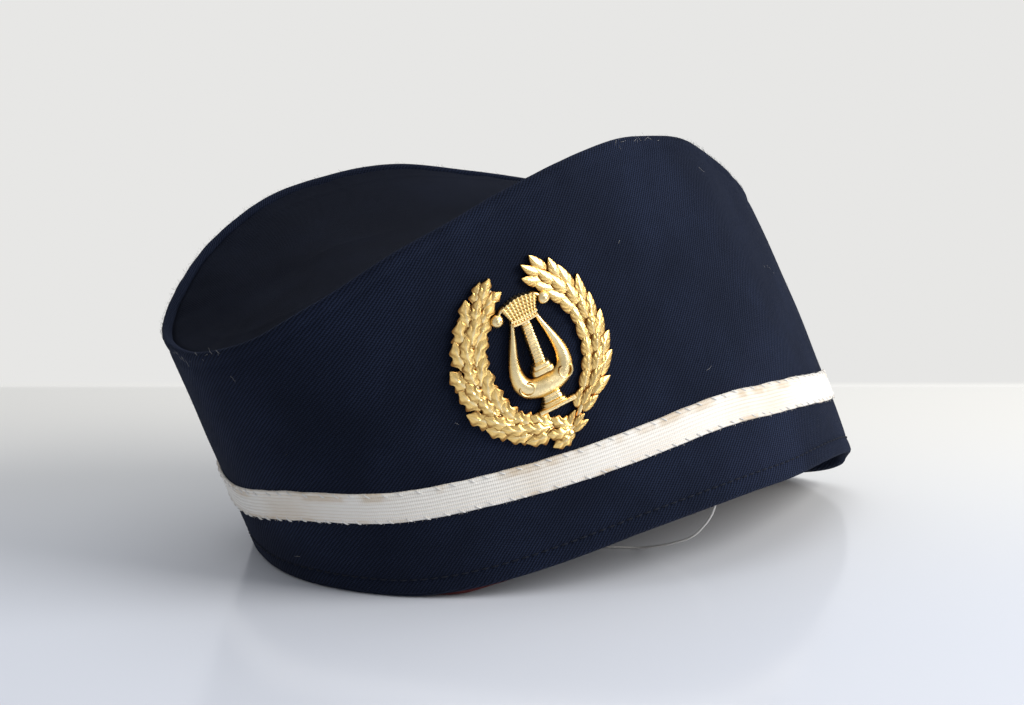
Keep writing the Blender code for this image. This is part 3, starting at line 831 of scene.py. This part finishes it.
def crown_rings(turn, drop):
    """Rings from the crown's edge to its middle line.

    Each ring follows the level of the rim's middle line. The edge's height above it fades, and
    the sag grows, by a power of the ring's share. A groove, puckers, ripples and a faint ridge
    are added.
    """
    look = cloth()
    inset = cap().band_thickness - 0.1 * MM
    edge = wall_point(turn, rim_height(turn) - drop, inset)
    mirrored = edge[(-np.arange(len(turn))) % len(turn)]
    middle = 0.5 * (edge + mirrored)
    half = len(turn) // 2
    centre = 0.5 * (middle[0] + middle[half])
    spine = centre + look.crown_spine * (middle - centre)
    reach = (spine[:, 1] - centre[1]) / (look.crown_spine * abs(middle[0, 1] - centre[1]))
    calm = 1.0 - 0.45 * reach**2 * (2.0 - reach**2)
    stations, levels = middle[: half + 1, 1], middle[: half + 1, 2]
    above = edge[:, 2] - np.interp(edge[:, 1], stations, levels)
    wide = np.linalg.norm((edge - spine)[:, :2], axis=1)
    rings = []
    for share in 1.0 - np.linspace(0.0, 1.0, CROWN_RINGS) ** 1.7:
        ring = spine + (edge - spine) * share
        leave = share**look.crown_hollow
        inside = wide * (1.0 - share)
        ring[:, 2] = np.interp(ring[:, 1], stations, levels)
        ring[:, 2] += above * leave - look.crown_sag * calm * (1.0 - leave)
        pucker = wander(turn, 22, 46, 21) * np.exp(-inside / (7.0 * MM)) * smooth_step(inside / (2.0 * MM))
        ripple = wander(turn, 3, 8, 22) * smooth_step(inside / (14.0 * MM)) * share
        ring[:, 2] -= look.seam_depth * bump(inside, 1.1 * MM)
        ring[:, 2] += (0.30 * pucker + 0.55 * ripple) * MM
        ring[:, 2] += 0.14 * MM * bump(inside - 9.0 * MM, 1.6 * MM)
        rings.append(ring)
    return np.stack(rings)


def make_crown():
    """Crown as one closed shell: the sagging top and a coarser underside."""
    look = cloth()
    turn = np.arange(CROWN_COLUMNS) * 360.0 / CROWN_COLUMNS
    top = crown_rings(turn, look.crown_drop)
    under = crown_rings(turn, look.crown_drop + look.crown_thickness)
    points = np.concatenate([top, under[:5:-6], under[:1]])
    closed = np.concatenate([points, points[:, :1]], axis=1)
    uv = np.concatenate([closed, closed[:1]], axis=0)[..., :2]
    mesh = grid_mesh("crown_cloth", points, uv, skip_row=len(top) - 1)
    # The crown's twill is a darker copy of the wall's twill: painted shade for the shade that falls into it
    # under the rim.
    finish = twill_finish("navy_crown_painted_shade", 24.0, 0.42)
    return make_piece("crown_cloth", outward(mesh), finish, "navy_twill", "crown")


def ribbon_edges(turn):
    """Heights of the ribbon's two edges, each wandering by about a tenth of a millimetre."""
    low = ribbon_low(turn) + 0.06 * MM * wander(turn, 30, 60, 31)
    high = ribbon_low(turn) + ribbon().width + 0.10 * MM * wander(turn, 30, 60, 32)
    return low, high


def make_ribbon():
    """Tape as one closed ring: ribs are a cosine across it, and its edges pucker at stitches."""
    look = ribbon()
    turn = np.arange(RIBBON_COLUMNS) * 360.0 / RIBBON_COLUMNS
    low, high = ribbon_edges(turn)
    stand = -cap().gap
    outer = []
    for share in np.linspace(0.0, 1.0, RIBBON_ROWS):
        rib = 0.5 - 0.5 * math.cos(math.tau * look.ribs * share)
        aside = abs(2.0 * share - 1.0)
        rounded = math.sqrt(max(1.0 - aside**14, 0.0))
        pucker = 0.11 * wander(turn, 60, 100, 33) * aside**3
        lift = (0.36 + 0.20 * rib) * rounded + pucker + 0.05 * wander(turn, 8, 16, 34)
        outer.append(wall_point(turn, low + (high - low) * share, stand - lift * MM))
    inner = [wall_point(turn, low + (high - low) * share, stand + 0.3 * MM) for share in (1.0, 0.5, 0.0)]
    points = np.stack(outer + inner)
    mesh = grid_mesh("ribbon_tape", points, ring_uv(points, 28))
    return make_piece("ribbon_tape", outward(mesh), ribbon_finish(), "white_ribbon", "ribbon")


def make_inner_band():
    """Red band as one closed ring, peeping out behind the badge and raised round the front."""
    size = cap()
    turn = np.arange(INNER_COLUMNS) * 360.0 / INNER_COLUMNS
    show = smooth_step(1.0 - np.abs(signed_turn(turn) - 124.0) / 24.0)
    low = 0.2 * MM - np.minimum(INNER_PEEP * show, near_lift(turn))
    low = low + 0.15 * MM * wander(turn, 20, 44, 41) * smooth_step(near_lift(turn) / (2.0 * MM))
    low = np.maximum(low, -near_lift(turn) + 0.1 * MM)
    low = low + INNER_RAISE * smooth_step((84.0 - np.abs(signed_turn(turn) - 8.0)) / 24.0)
    high = INNER_HEIGHT
    outer = size.band_thickness + size.gap
    inner = outer + INNER_THICKNESS
    points = []
    for share in np.linspace(0.0, 1.0, INNER_ROWS):
        points.append(wall_point(turn, low + (high - low) * share, outer))
    points.append(wall_point(turn, high + 0.3 * MM, 0.5 * (outer + inner)))
    for share in np.linspace(1.0, 0.0, INNER_ROWS):
        slack = 0.25 * MM * wander(turn, 9, 21, 42) * share
        points.append(wall_point(turn, low + (high - low) * share, inner + np.abs(slack)))
    points = np.stack(points)
    mesh = grid_mesh("inner_band", points, ring_uv(points, 7))
    return make_piece("inner_band", outward(mesh), red_finish(), "red_lining", "lining")


def pairs(u, v):
    """Points of a path from its two coordinates, of which one may be constant."""
    return np.stack(np.broadcast_arrays(u, v), axis=-1)


class Casting:
    """Shapes of the badge in millimetres of its plane: u right, v up, n off the cloth."""

    def __init__(self):
        self.points = []
        self.relief = []
        self.faces = []
        self.count = 0

    def shell(self, rings, relief):
        """Closed shell through rings of equal size, capped at both ends."""
        rows, columns = rings.shape[:2]
        row = np.arange(rows - 1)[:, None] * columns
        column = np.arange(columns)[None, :]
        after = (column + 1) % columns
        quads = [row + column, row + after, row + columns + after, row + columns + column]
        start = self.count
        self.faces += (np.stack(quads, axis=-1).reshape(-1, 4) + start).tolist()
        self.faces.append((np.arange(columns)[::-1] + start).tolist())
        self.faces.append((np.arange(columns) + start + (rows - 1) * columns).tolist())
        self.points.append(rings.reshape(-1, 3))
        self.relief.append(np.broadcast_to(relief, (rows, columns)).reshape(-1))
        self.count += rows * columns

    def strip(self, middle, half, height, base, shape=2.6):
        """Raised strip along a path: flat behind, its front a rounded section.

        The section's height is one less the share across to the power of the shape.
        """
        sizes = [np.broadcast_to(size, len(middle))[:, None] for size in (half, height, base)]
        tangent = unit(np.gradient(middle, axis=0))
        across = np.stack([-tangent[:, 1], tangent[:, 0]], axis=-1)
        front = np.sin(np.linspace(-0.5, 0.5, 13) * np.pi)
        share = np.concatenate([front, [0.9, 0.0, -0.9]])
        crown = np.concatenate([1.0 - np.abs(front) ** shape, [0.0, 0.0, 0.0]])
        behind = np.concatenate([np.zeros(13), np.ones(3)])
        level = (sizes[2] + sizes[1] * crown) * (1.0 - behind)
        plane = middle[:, None] + across[:, None] * (sizes[0] * share)[..., None]
        self.shell(np.concatenate([plane, level[..., None]], axis=-1), 0.25 + 0.75 * crown[None, :])

    def leaf(self, root, heading, long, wide, base, kind):
        """Leaf: half width is a power of a sine of the length, drawn out to a point, or waved
        by its lobes; the front is crowned, with a rib along it and veins slanting off it."""
        t = np.linspace(0.0, 1.0, 21)
        lobes = kind.lobes
        body = np.sin(np.pi * t**0.85) ** kind.roundness
        outline = body * (1.0 - 0.22 * t)
        if lobes:
            outline = body * (0.86 + 0.20 * np.cos(math.tau * (lobes * t - 0.28)))
        half = 0.5 * wide * outline + 0.05
        front = np.sin(np.linspace(-0.5, 0.5, 15) * np.pi)
        share = np.concatenate([front, [0.85, -0.85]])
        across = np.abs(share)
        crown = np.concatenate([(1.0 - np.abs(front) ** 2.4) ** 0.6, [0.0, 0.0]])
        rib = bump(share, 0.13)[None, :] * np.minimum(1.0, 3.0 * (1.0 - t))[:, None]
        slant = (lobes or 5) * (t[:, None] - 0.32 * across[None, :])
        vein = np.cos(math.tau * slant) * across[None, :] * np.sin(np.pi * t)[:, None]
        swell = 0.62 * np.sin(np.pi * t**0.7)[:, None] * crown
        level = base + 0.75 * t[:, None] + swell + 0.26 * rib + kind.vein * vein * crown
        behind = np.concatenate([np.zeros(15), np.ones(2)])
        level = np.where(behind > 0, 0.3 * base, level)
        ahead = np.array([math.cos(heading), math.sin(heading)])
        beside = np.array([-ahead[1], ahead[0]])
        curl = 0.06 * long * np.sin(np.pi * t)
        plane = root + ahead * (long * t)[:, None] + beside * curl[:, None]
        plane = plane[:, None] + beside * (half[:, None] * share)[..., None]
        # Relief share for the gilding: crown, rib and veins get the painted highlight, the rest the painted
        # shade.
        shine = 0.08 + 0.48 * crown + 0.40 * rib + 0.40 * vein * crown
        self.shell(np.concatenate([plane, level[..., None]], axis=-1), np.clip(shine, 0.0, 1.0))

    def ball(self, place, radius, high):
        """Flattened ball: rings whose radius is a sine and whose level is a cosine."""
        polar = np.linspace(0.04, np.pi - 0.04, 13)[:, None]
        angle = np.arange(20)[None, :] * math.tau / 20
        u = place[0] + radius * np.sin(polar) * np.cos(angle)
        v = place[1] + radius * np.sin(polar) * np.sin(angle)
        n = np.maximum(0.5 * high * (1.0 + np.cos(polar)), 0.0) + 0.0 * angle
        self.shell(np.stack([u, v, n], axis=-1), 0.3 + 0.7 * n / high)

    def plate(self, place, half_u, half_v, high, ridges):
        """Raised block along v: its section is a rounded box, its rows can be ridged."""
        t = np.linspace(-1.0, 1.0, 9 + 6 * ridges)
        rounded = np.sqrt(np.maximum(1.0 - np.abs(t) ** 10, 0.04))
        wave = 0.5 - 0.5 * np.cos(math.tau * ridges * 0.5 * (t + 1.0)) if ridges else 1.0
        middle = pairs(place[0], place[1] + half_v * t)
        widths = np.linspace(half_u[0], half_u[1], len(t))
        height = high * rounded * (0.86 + 0.14 * wave)
        self.strip(middle, widths * (0.965 + 0.035 * wave * rounded), height, 0.0, shape=9.0)


def wreath_path(angle):
    """Ellipse, widened at the branch tips and dropped where the two stems meet."""
    look = badge()
    phi = np.radians(angle)
    from_foot = signed_turn(angle - FOOT_ANGLE) / 11.0
    from_top = np.abs(signed_turn(angle - 90.0))
    flare = 1.0 + 0.11 * smooth_step((52.0 - from_top) / 36.0)
    u = look.half_width / MM * flare * np.cos(phi)
    v = look.half_height / MM * flare * np.sin(phi) - look.lowered / MM
    return np.stack([u, v - look.foot_drop / MM * np.exp(-from_foot * from_foot)], axis=-1)


def cast_branch(casting, kind):
    """One branch: a stem and rows of leaves in threes that lap towards the tip."""
    look = badge()
    finish = 90.0 - kind.side * TIP_ANGLE - (360.0 if kind.side < 0.0 else 0.0)
    course = finish - FOOT_ANGLE
    casting.strip(wreath_path(np.linspace(FOOT_ANGLE, finish, 60)), 0.95, 0.9, 0.2)
    draw = np.random.default_rng(70 + kind.lobes)
    for row in range(look.rows):
        share = (row + 0.12) / look.rows
        angle = FOOT_ANGLE + course * share
        root = wreath_path(np.array([angle]))[0]
        ahead = wreath_path(np.array([angle + course * 0.01]))[0] - root
        heading = math.atan2(ahead[1], ahead[0])
        beside = np.array([-math.sin(heading), math.cos(heading)])
        grown = kind.first + (1.0 - kind.first) * min(1.0, 4.5 * share)
        grown *= 1.0 - 0.26 * max(0.0, share - 0.75) / 0.25
        for lean in (-1.0, 1.0, 0.0):
            jitter = draw.uniform(-1.0, 1.0, 3)
            spread = kind.spread * lean + kind.unrest * jitter[0]
            long = grown * (kind.long - (0.0 if lean else 0.4) + 0.8 * jitter[1])
            wide = grown * (kind.wide + 0.4 * jitter[2]) * (1.0 if lean else 0.85)
            back = 1.4 if lean else 0.0
            place = root + beside * lean * kind.offset * grown
            place = place - ahead / np.linalg.norm(ahead) * back
            casting.leaf(place, heading + spread, long, wide, 0.55 if lean else 1.0, kind)


def lyre_arm():
    """Side, level, half width and thickness down one arm, smoothed from the table's rows."""
    table = np.array(LYRE_ARM)
    knots = np.linspace(0.0, len(table) - 1.0, 60)
    kernel = np.hanning(13) / np.hanning(13).sum()
    smooth = []
    for column in table.T:
        values = np.interp(knots, np.arange(len(table)), column)
        padded = np.pad(values, 6, mode="reflect", reflect_type="odd")
        smooth.append(np.convolve(padded, kernel, mode="valid"))
    return smooth


def cast_lyre(casting):
    """Lyre: two arms and soundbox, ribbed fan yoke, scroll balls, column, steps and foot."""
    out, level, half, thick = lyre_arm()
    sweep = np.linspace(0.0, 1.0, 16)
    angle = np.linspace(0.0, 1.55 * np.pi, 34)
    reach = 2.5 - 1.0 * angle / angle[-1]
    for side in (-1.0, 1.0):
        casting.strip(pairs(side * out, level), half, 0.55 * thick, 0.45 * thick, shape=2.4)
        curl = pairs(side * (5.9 + reach * np.cos(angle - 0.4)), -9.1 - reach * np.sin(angle - 0.4))
        casting.strip(curl, 0.30, 0.5, 2.75)
        for radius, high in ((1.95, 3.2), (1.05, 3.6)):
            casting.ball((side * 7.7, 13.4), radius, high)
        neck = pairs(side * (4.4 + 2.6 * sweep), 15.9 - 0.4 * sweep - 1.4 * sweep**3)
        casting.strip(neck, 0.75 - 0.2 * sweep, 1.2, 0.9)
        casting.strip(pairs(side * (8.6 + 3.2 * sweep), 13.2 + 0.5 * sweep), 0.8, 0.8, 0.4)
    cast_yoke(casting)
    for place, half_u, half_v, high, ridges in LYRE_PLATES:
        casting.plate(place, half_u, half_v, high, ridges)
    casting.strip(pairs(np.linspace(-5.0, 6.6, 24), -18.3), 0.95, 1.2, 1.0)
    tie = np.linspace(0.0, 1.0, 12)
    casting.strip(pairs(-4.6 - 0.8 * tie, -18.4 - 3.4 * tie), 0.8, 0.9, 0.5)


def cast_yoke(casting):
    """Fan yoke: ribs are a cosine across it and rows a cosine up it; a double rim below."""
    across = np.linspace(-1.0, 1.0, 113)[:, None]
    up = np.concatenate([np.linspace(0.0, 1.0, 27), [1.0, 0.5, 0.0]])[None, :]
    front = np.concatenate([np.ones(27), np.zeros(3)])[None, :]
    low = 10.2 + 0.25 * across**2
    high = 17.2 - 1.5 * across**2 + 0.22 * np.cos(math.tau * 4.5 * across)
    u = across * (3.9 + 1.9 * up**1.3) + 0.1
    v = low + (high - low) * up
    rib = 0.5 + 0.5 * np.cos(math.tau * 4.5 * across)
    row = 0.5 + 0.5 * np.cos(math.tau * 6.0 * up)
    swell = 1.0 - 0.35 * across**2
    level = (1.5 + 0.9 * swell + 0.30 * rib + 0.22 * row * (1.0 - 0.3 * up)) * front
    # Relief share for the gilding: ribs and rows get the painted highlight, the rest the painted shade.
    shine = np.clip(0.15 + 0.5 * rib + 0.35 * row, 0.0, 1.0) + 0.0 * level
    casting.shell(np.stack([u + 0.0 * v, v, level], axis=-1), shine)
    for level, reach in ((9.7, 4.0), (10.9, 4.25)):
        bar = np.linspace(-reach, reach, 24)
        casting.strip(pairs(bar + 0.1, level + 0.02 * bar**2), 0.55, 0.8, 2.1)


def bend_to_wall(points):
    """Tilt the badge's plane, lay its middle row along the wall and stand it off by n."""
    look = badge()
    tilt = math.radians(look.tilt)
    u = points[:, 0] * math.cos(tilt) - points[:, 1] * math.sin(tilt)
    v = points[:, 0] * math.sin(tilt) + points[:, 1] * math.cos(tilt)
    turns = np.linspace(look.turn - 60.0, look.turn + 60.0, 241)
    row = wall_point(turns, look.height)
    steps = np.linalg.norm(np.diff(row, axis=0), axis=1)
    metres = np.concatenate([[0.0], np.cumsum(steps)])
    metres -= np.interp(look.turn, turns, metres)
    turn = np.interp(-u, metres, turns)
    climb = math.hypot(1.0, cap().backward_lean)
    return wall_point(turn, look.height + v / climb, -cap().gap - points[:, 2])


def make_badge():
    """Cast badge from all its shapes, bent to the wall, with its relief kept for the gilding's painted shade
    in the hollows and painted highlight on the crests.
    """
    casting = Casting()
    cast_branch(casting, OAK)
    cast_branch(casting, LAUREL)
    cast_lyre(casting)
    points = bend_to_wall(np.concatenate(casting.points) * MM)
    mesh = bpy.data.meshes.new("badge_cast")
    mesh.from_pydata(points.tolist(), [], casting.faces)
    relief = mesh.attributes.new("relief", "FLOAT", "POINT")
    relief.data.foreach_set("value", np.concatenate(casting.relief).astype(np.float32))
    return make_piece("badge_cast", outward(mesh), gilt_finish(), "gilt_metal", "badge", sharp=65.0)


def stitch_paths(turn, height, long, rise, lean=0.0):
    """Arched stitches on the wall: a sine lifts each one's middle off the cloth."""
    place, along, up, out = wall_frame(turn, height)
    share = np.linspace(-1.0, 1.0, 7)[None, :, None]
    course = along * math.cos(lean) + up * math.sin(lean)
    arch = np.cos(0.5 * np.pi * share) * rise - 0.25 * MM
    return place[:, None] + course[:, None] * share * 0.5 * long + out[:, None] * arch


def make_stitches():
    """Row of navy stitches round the hem, one in each dimple of the cloth."""
    look = cloth()
    fine = np.linspace(0.0, 360.0, FINE_COLUMNS)
    metres = hem_metres(fine)
    count = int(round(metres[-1] / look.stitch_pitch))
    turn = np.interp((np.arange(count) + 0.5) * look.stitch_pitch, metres, fine)
    paths = stitch_paths(turn, np.full(count, look.stitch_height), 0.72 * look.stitch_pitch, 0.32 * MM)
    finish = thread_finish("navy_thread", (0.013, 0.016, 0.026), 0.4 * MM, 0.06)
    return make_piece("hem_stitches", tubes("hem_stitches", paths, HEM_THREAD, 6), finish, "navy_twill")


def make_ribbon_stitches():
    """Hand stitches that hold the ribbon, slanting over its upper and lower edges."""
    look = ribbon()
    draw = np.random.default_rng(51)
    fine = np.linspace(0.0, 360.0, FINE_COLUMNS)
    line = wall_point(fine, ribbon_low(fine))
    metres = np.concatenate([[0.0], np.cumsum(np.linalg.norm(np.diff(line, axis=0), axis=1))])
    count = int(metres[-1] / look.stitch_pitch)
    turns = []
    heights = []
    for share in (0.07, 0.93):
        where = (np.arange(count) + 0.5 + draw.uniform(-0.2, 0.2, count)) * look.stitch_pitch
        turn = np.interp(where, metres, fine)
        low, high = ribbon_edges(turn)
        turns.append(turn)
        heights.append(low + (high - low) * (share + draw.uniform(-0.015, 0.015, count)))
    turn = np.concatenate(turns)
    height = np.concatenate(heights)
    paths = stitch_paths(turn, height, 2.1 * MM, 0.30 * MM, lean=0.6)
    out = wall_frame(turn, height)[3]
    paths = paths + out[:, None] * (cap().gap + 0.52 * MM)
    finish = thread_finish("white_thread", (0.84, 0.82, 0.78), 0.4 * MM)
    mesh = tubes("ribbon_stitches", paths, RIBBON_THREAD, 6)
    return make_piece("ribbon_stitches", mesh, finish, "white_ribbon")


def fibre_paths(place, along, up, out, long, draw):
    """Short hairs: quadratic curves that leave the cloth and bend over it."""
    count = len(place)
    angle = draw.uniform(0.0, math.tau, count)[:, None]
    course = along * np.cos(angle) + up * np.sin(angle)
    bent = along * -np.sin(angle) + up * np.cos(angle)
    t = np.linspace(0.0, 1.0, 5)[None, :, None]
    curve = draw.uniform(-0.7, 0.7, count)[:, None, None]
    stand = draw.uniform(0.05, 0.45, count)[:, None, None]
    reach = long[:, None, None] * (course[:, None] * t + bent[:, None] * curve * t * t)
    return place[:, None] + reach + out[:, None] * long[:, None, None] * stand * t * (1.6 - t)


def make_fuzz():
    """Hairs of the worn twill over the wall and thicker along the rim."""
    draw = np.random.default_rng(61)
    turn = np.concatenate([draw.uniform(0.0, 360.0, WALL_HAIRS), draw.uniform(0.0, 360.0, RIM_HAIRS)])
    top = rim_height(turn)
    share = np.concatenate([draw.uniform(0.02, 0.97, WALL_HAIRS), draw.uniform(0.985, 0.999, RIM_HAIRS)])
    place, along, up, out = wall_frame(turn, share * top, -0.02 * MM)
    long = draw.uniform(0.4, 1.3, len(turn)) * MM
    paths = fibre_paths(place, along, up, out, long, draw)
    finish = thread_finish("wool_hairs", (0.016, 0.021, 0.036), 0.5 * MM, 0.03)
    return make_piece("wool_hairs", tubes("wool_hairs", paths, WOOL_HAIR, 3), finish, "navy_twill")


def make_lint():
    """Pale fibres caught on the cloth: single hairs and a few small tufts."""
    draw = np.random.default_rng(62)
    turn = [draw.uniform(0.0, 360.0, LINT_HAIRS)]
    share = [draw.uniform(0.05, 0.99, LINT_HAIRS)]
    for middle, level, count in LINT_TUFTS:
        turn.append(draw.normal(middle, 3.0, count))
        share.append(np.clip(draw.normal(level, 0.006, count), 0.03, 0.999))
    turn = np.concatenate(turn)
    share = np.concatenate(share)
    place, along, up, out = wall_frame(turn, share * rim_height(turn), -0.05 * MM)
    long = draw.uniform(0.6, 2.4, len(turn)) * MM
    paths = fibre_paths(place, along, up, out, long, draw)
    finish = thread_finish("pale_lint", tuple(cloth().lint), 0.5 * MM, 0.1)
    return make_piece("pale_lint", tubes("pale_lint", paths, LINT_HAIR, 4), finish, "navy_twill")


def make_ribbon_fibres():
    """Frayed hairs along both edges of the ribbon."""
    draw = np.random.default_rng(63)
    turn = draw.uniform(0.0, 360.0, RIBBON_HAIRS)
    low, high = ribbon_edges(turn)
    upper = draw.uniform(0.0, 1.0, len(turn)) < 0.75
    height = np.where(upper, high, low)
    place, along, up, out = wall_frame(turn, height, -cap().gap - 0.3 * MM)
    up = up * np.where(upper, 1.0, -1.0)[:, None]
    long = draw.uniform(0.15, 0.5, len(turn)) * MM
    angle = draw.normal(0.0, 0.6, len(turn))[:, None]
    course = up * np.cos(angle) + along * np.sin(angle)
    t = np.linspace(0.0, 1.0, 4)[None, :, None]
    lift = out[:, None] * (0.35 * long)[:, None, None] * t * t
    paths = place[:, None] + course[:, None] * long[:, None, None] * t + lift
    finish = thread_finish("ribbon_hairs", (0.80, 0.76, 0.69), 0.5 * MM)
    return make_piece("ribbon_hairs", tubes("ribbon_hairs", paths, TAPE_HAIR, 3), finish, "white_ribbon")


def make_loose_thread():
    """White thread that hangs from the hem in front of the cap and curls under it on the floor."""
    data = bpy.data.curves.new("loose_thread", "CURVE")
    data.dimensions = "3D"
    data.bevel_depth = 0.5 * THREAD_DIAMETER
    data.bevel_resolution = 3
    data.resolution_u = 8
    spline = data.splines.new("BEZIER")
    spline.bezier_points.add(len(THREAD_POINTS) - 1)
    for point, place in zip(spline.bezier_points, THREAD_POINTS):
        point.co = [part * MM for part in place]
        point.handle_left_type = "AUTO"
        point.handle_right_type = "AUTO"
    data.use_fill_caps = True
    data.materials.append(thread_finish("loose_thread", (0.84, 0.82, 0.78), 0.3 * MM))
    piece = bpy.data.objects.new("loose_thread", data)
    bpy.context.scene.collection.objects.link(piece)
    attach(piece, "root")
    return piece


def camera_place():
    """Camera place and the point that it looks at."""
    look = stage()
    azimuth = math.radians(look.azimuth)
    rise = math.radians(look.elevation)
    back = Vector((math.sin(azimuth) * math.cos(rise), -math.cos(azimuth) * math.cos(rise), math.sin(rise)))
    right = Vector((math.cos(azimuth), math.sin(azimuth), 0.0))
    offset = frame_offset()
    aim = Vector((offset[0], offset[1], look.aim_height)) + right * look.aim_right
    return aim + back * look.distance, aim, back, right


def soft_light(name, place, aim, width, power, colour):
    """Square area light that faces the aim."""
    lamp = bpy.data.lights.new(name, "AREA")
    lamp.shape = "SQUARE"
    lamp.size = width
    lamp.energy = power
    lamp.color = colour
    holder = bpy.data.objects.new(name, lamp)
    holder.location = place
    holder.rotation_euler = (aim - place).to_track_quat("-Z", "Y").to_euler()
    bpy.context.scene.collection.objects.link(holder)


def floor_finish():
    """Pale glossy floor near the cap, with painted light in its colour, bluish towards the camera and
    brighter and warmer away from it, and an evenly bright ground beyond its far edge.
    """
    look = stage()
    nodes = Nodes("floor", (0.80, 0.81, 0.83), Emission_Color=(0.80, 0.797, 0.785, 1.0))
    azimuth = math.radians(look.azimuth)
    place = nodes.add("ShaderNodeTexCoord")
    turned = nodes.add("ShaderNodeMapping", None, Vector=place.outputs["Object"])
    nodes.set(turned, Rotation=(0.0, 0.0, -azimuth))
    parts = nodes.add("ShaderNodeSeparateXYZ", None, i0=turned.outputs[0])
    beyond = nodes.ramp(parts.outputs[1], look.floor_end - 0.006, look.floor_end + 0.008)
    # Painted light: the near floor runs from a bluish tint near the camera to a brighter, warmer tint away
    # from it.
    near = nodes.blend(nodes.ramp(parts.outputs[1], -0.12, 0.17), (0.72, 0.75, 0.815), (0.90, 0.885, 0.83))
    nodes.plug(nodes.shader.inputs["Base Color"], nodes.blend(beyond, near, (0.0, 0.0, 0.0)))
    nodes.plug(nodes.shader.inputs["Emission Strength"], beyond)
    nodes.plug(nodes.shader.inputs["Roughness"], nodes.ramp(beyond, 0.0, 1.0, 0.16, 1.0))
    nodes.plug(nodes.shader.inputs["Specular IOR Level"], nodes.ramp(beyond, 0.0, 1.0, 0.42, 0.0))
    return nodes.finish


def make_stage():
    """Floor, soft lights, even world light and the camera."""
    look = stage()
    scene = bpy.context.scene
    place, aim, back, right = camera_place()
    signs = ((-1, -1), (1, -1), (1, 1), (-1, 1))
    corners = [(FLOOR_REACH * x, FLOOR_REACH * y, 0.0) for x, y in signs]
    mesh = bpy.data.meshes.new("floor")
    mesh.from_pydata(corners, [], [(0, 1, 2, 3)])
    mesh.materials.append(floor_finish())
    floor = bpy.data.objects.new("floor", mesh)
    scene.collection.objects.link(floor)
    up = Vector((0.0, 0.0, 1.0))
    powers = (look.key_power, look.top_power)
    for power, (name, distance, aside, nearer, above, width, colour) in zip(powers, LIGHTS):
        course = right * aside + back * nearer + up * above
        soft_light(name, aim + distance * course.normalized(), aim, width, power, colour)
    world = bpy.data.worlds.new("even_light")
    world.use_nodes = True
    shade = world.node_tree.nodes["Background"]
    shade.inputs["Color"].default_value = (0.93, 0.95, 1.0, 1.0)
    shade.inputs["Strength"].default_value = look.world
    scene.world = world
    scene.view_settings.view_transform = "Standard"
    lens = bpy.data.cameras.new("camera")
    lens.lens = look.lens
    lens.sensor_width = 36.0
    camera = bpy.data.objects.new("camera", lens)
    camera.location = place
    camera.rotation_euler = (-back).to_track_quat("-Z", "Y").to_euler()
    scene.collection.objects.link(camera)
    scene.camera = camera


class CapStage(bpy.types.Operator):
    """Make the floor, the lights and the camera"""

    bl_idname = "band_cap.stage"
    bl_label = "Stage"

    def execute(self, context):
        make_stage()
        return {"FINISHED"}


class CapCloth(bpy.types.Operator):
    """Make the twill wall, the crown and the red inner band"""

    bl_idname = "band_cap.cloth"
    bl_label = "Cloth"

    def execute(self, context):
        make_band()
        make_crown()
        make_inner_band()
        return {"FINISHED"}


class CapRibbon(bpy.types.Operator):
    """Make the ribbon, its hand stitches and its frayed edges"""

    bl_idname = "band_cap.ribbon"
    bl_label = "Ribbon"

    def execute(self, context):
        make_ribbon()
        make_ribbon_stitches()
        make_ribbon_fibres()
        return {"FINISHED"}


class CapBadge(bpy.types.Operator):
    """Make the cast lyre and wreath"""

    bl_idname = "band_cap.badge"
    bl_label = "Badge"

    def execute(self, context):
        make_badge()
        return {"FINISHED"}


class CapTrim(bpy.types.Operator):
    """Make the hem stitches, the wool hairs, the lint and the loose thread"""

    bl_idname = "band_cap.trim"
    bl_label = "Stitches and lint"

    def execute(self, context):
        make_stitches()
        make_fuzz()
        make_lint()
        make_loose_thread()
        return {"FINISHED"}


OPERATORS = (CapStage, CapCloth, CapRibbon, CapBadge, CapTrim)
GROUPS = (
    ("cap_sizes", CapSizes),
    ("cap_cloth", ClothLook),
    ("cap_ribbon", RibbonLook),
    ("cap_badge", BadgeLook),
    ("cap_stage", StageLook),
)


class CapPanel(bpy.types.Panel):
    """Buttons of the band cap"""

    bl_idname = "VIEW3D_PT_band_cap"
    bl_label = "Band cap"
    bl_space_type = "VIEW_3D"
    bl_region_type = "UI"
    bl_category = "Band cap"

    def draw(self, context):
        for operator in OPERATORS:
            self.layout.operator(operator.bl_idname)


def register():
    """Make the settings, the buttons and the panel known."""
    for name, group in GROUPS:
        bpy.utils.register_class(group)
        setattr(bpy.types.Scene, name, PointerProperty(type=group))
    for operator in OPERATORS:
        bpy.utils.register_class(operator)
    bpy.utils.register_class(CapPanel)


def unregister():
    """Take them away again."""
    bpy.utils.unregister_class(CapPanel)
    for operator in reversed(OPERATORS):
        bpy.utils.unregister_class(operator)
    for name, group in reversed(GROUPS):
        delattr(bpy.types.Scene, name)
        bpy.utils.unregister_class(group)


def main():
    """Make every piece in order."""
    register()
    bpy.ops.band_cap.stage()
    bpy.ops.band_cap.cloth()
    bpy.ops.band_cap.ribbon()
    bpy.ops.band_cap.badge()
    bpy.ops.band_cap.trim()


if __name__ == "__main__":
    main()
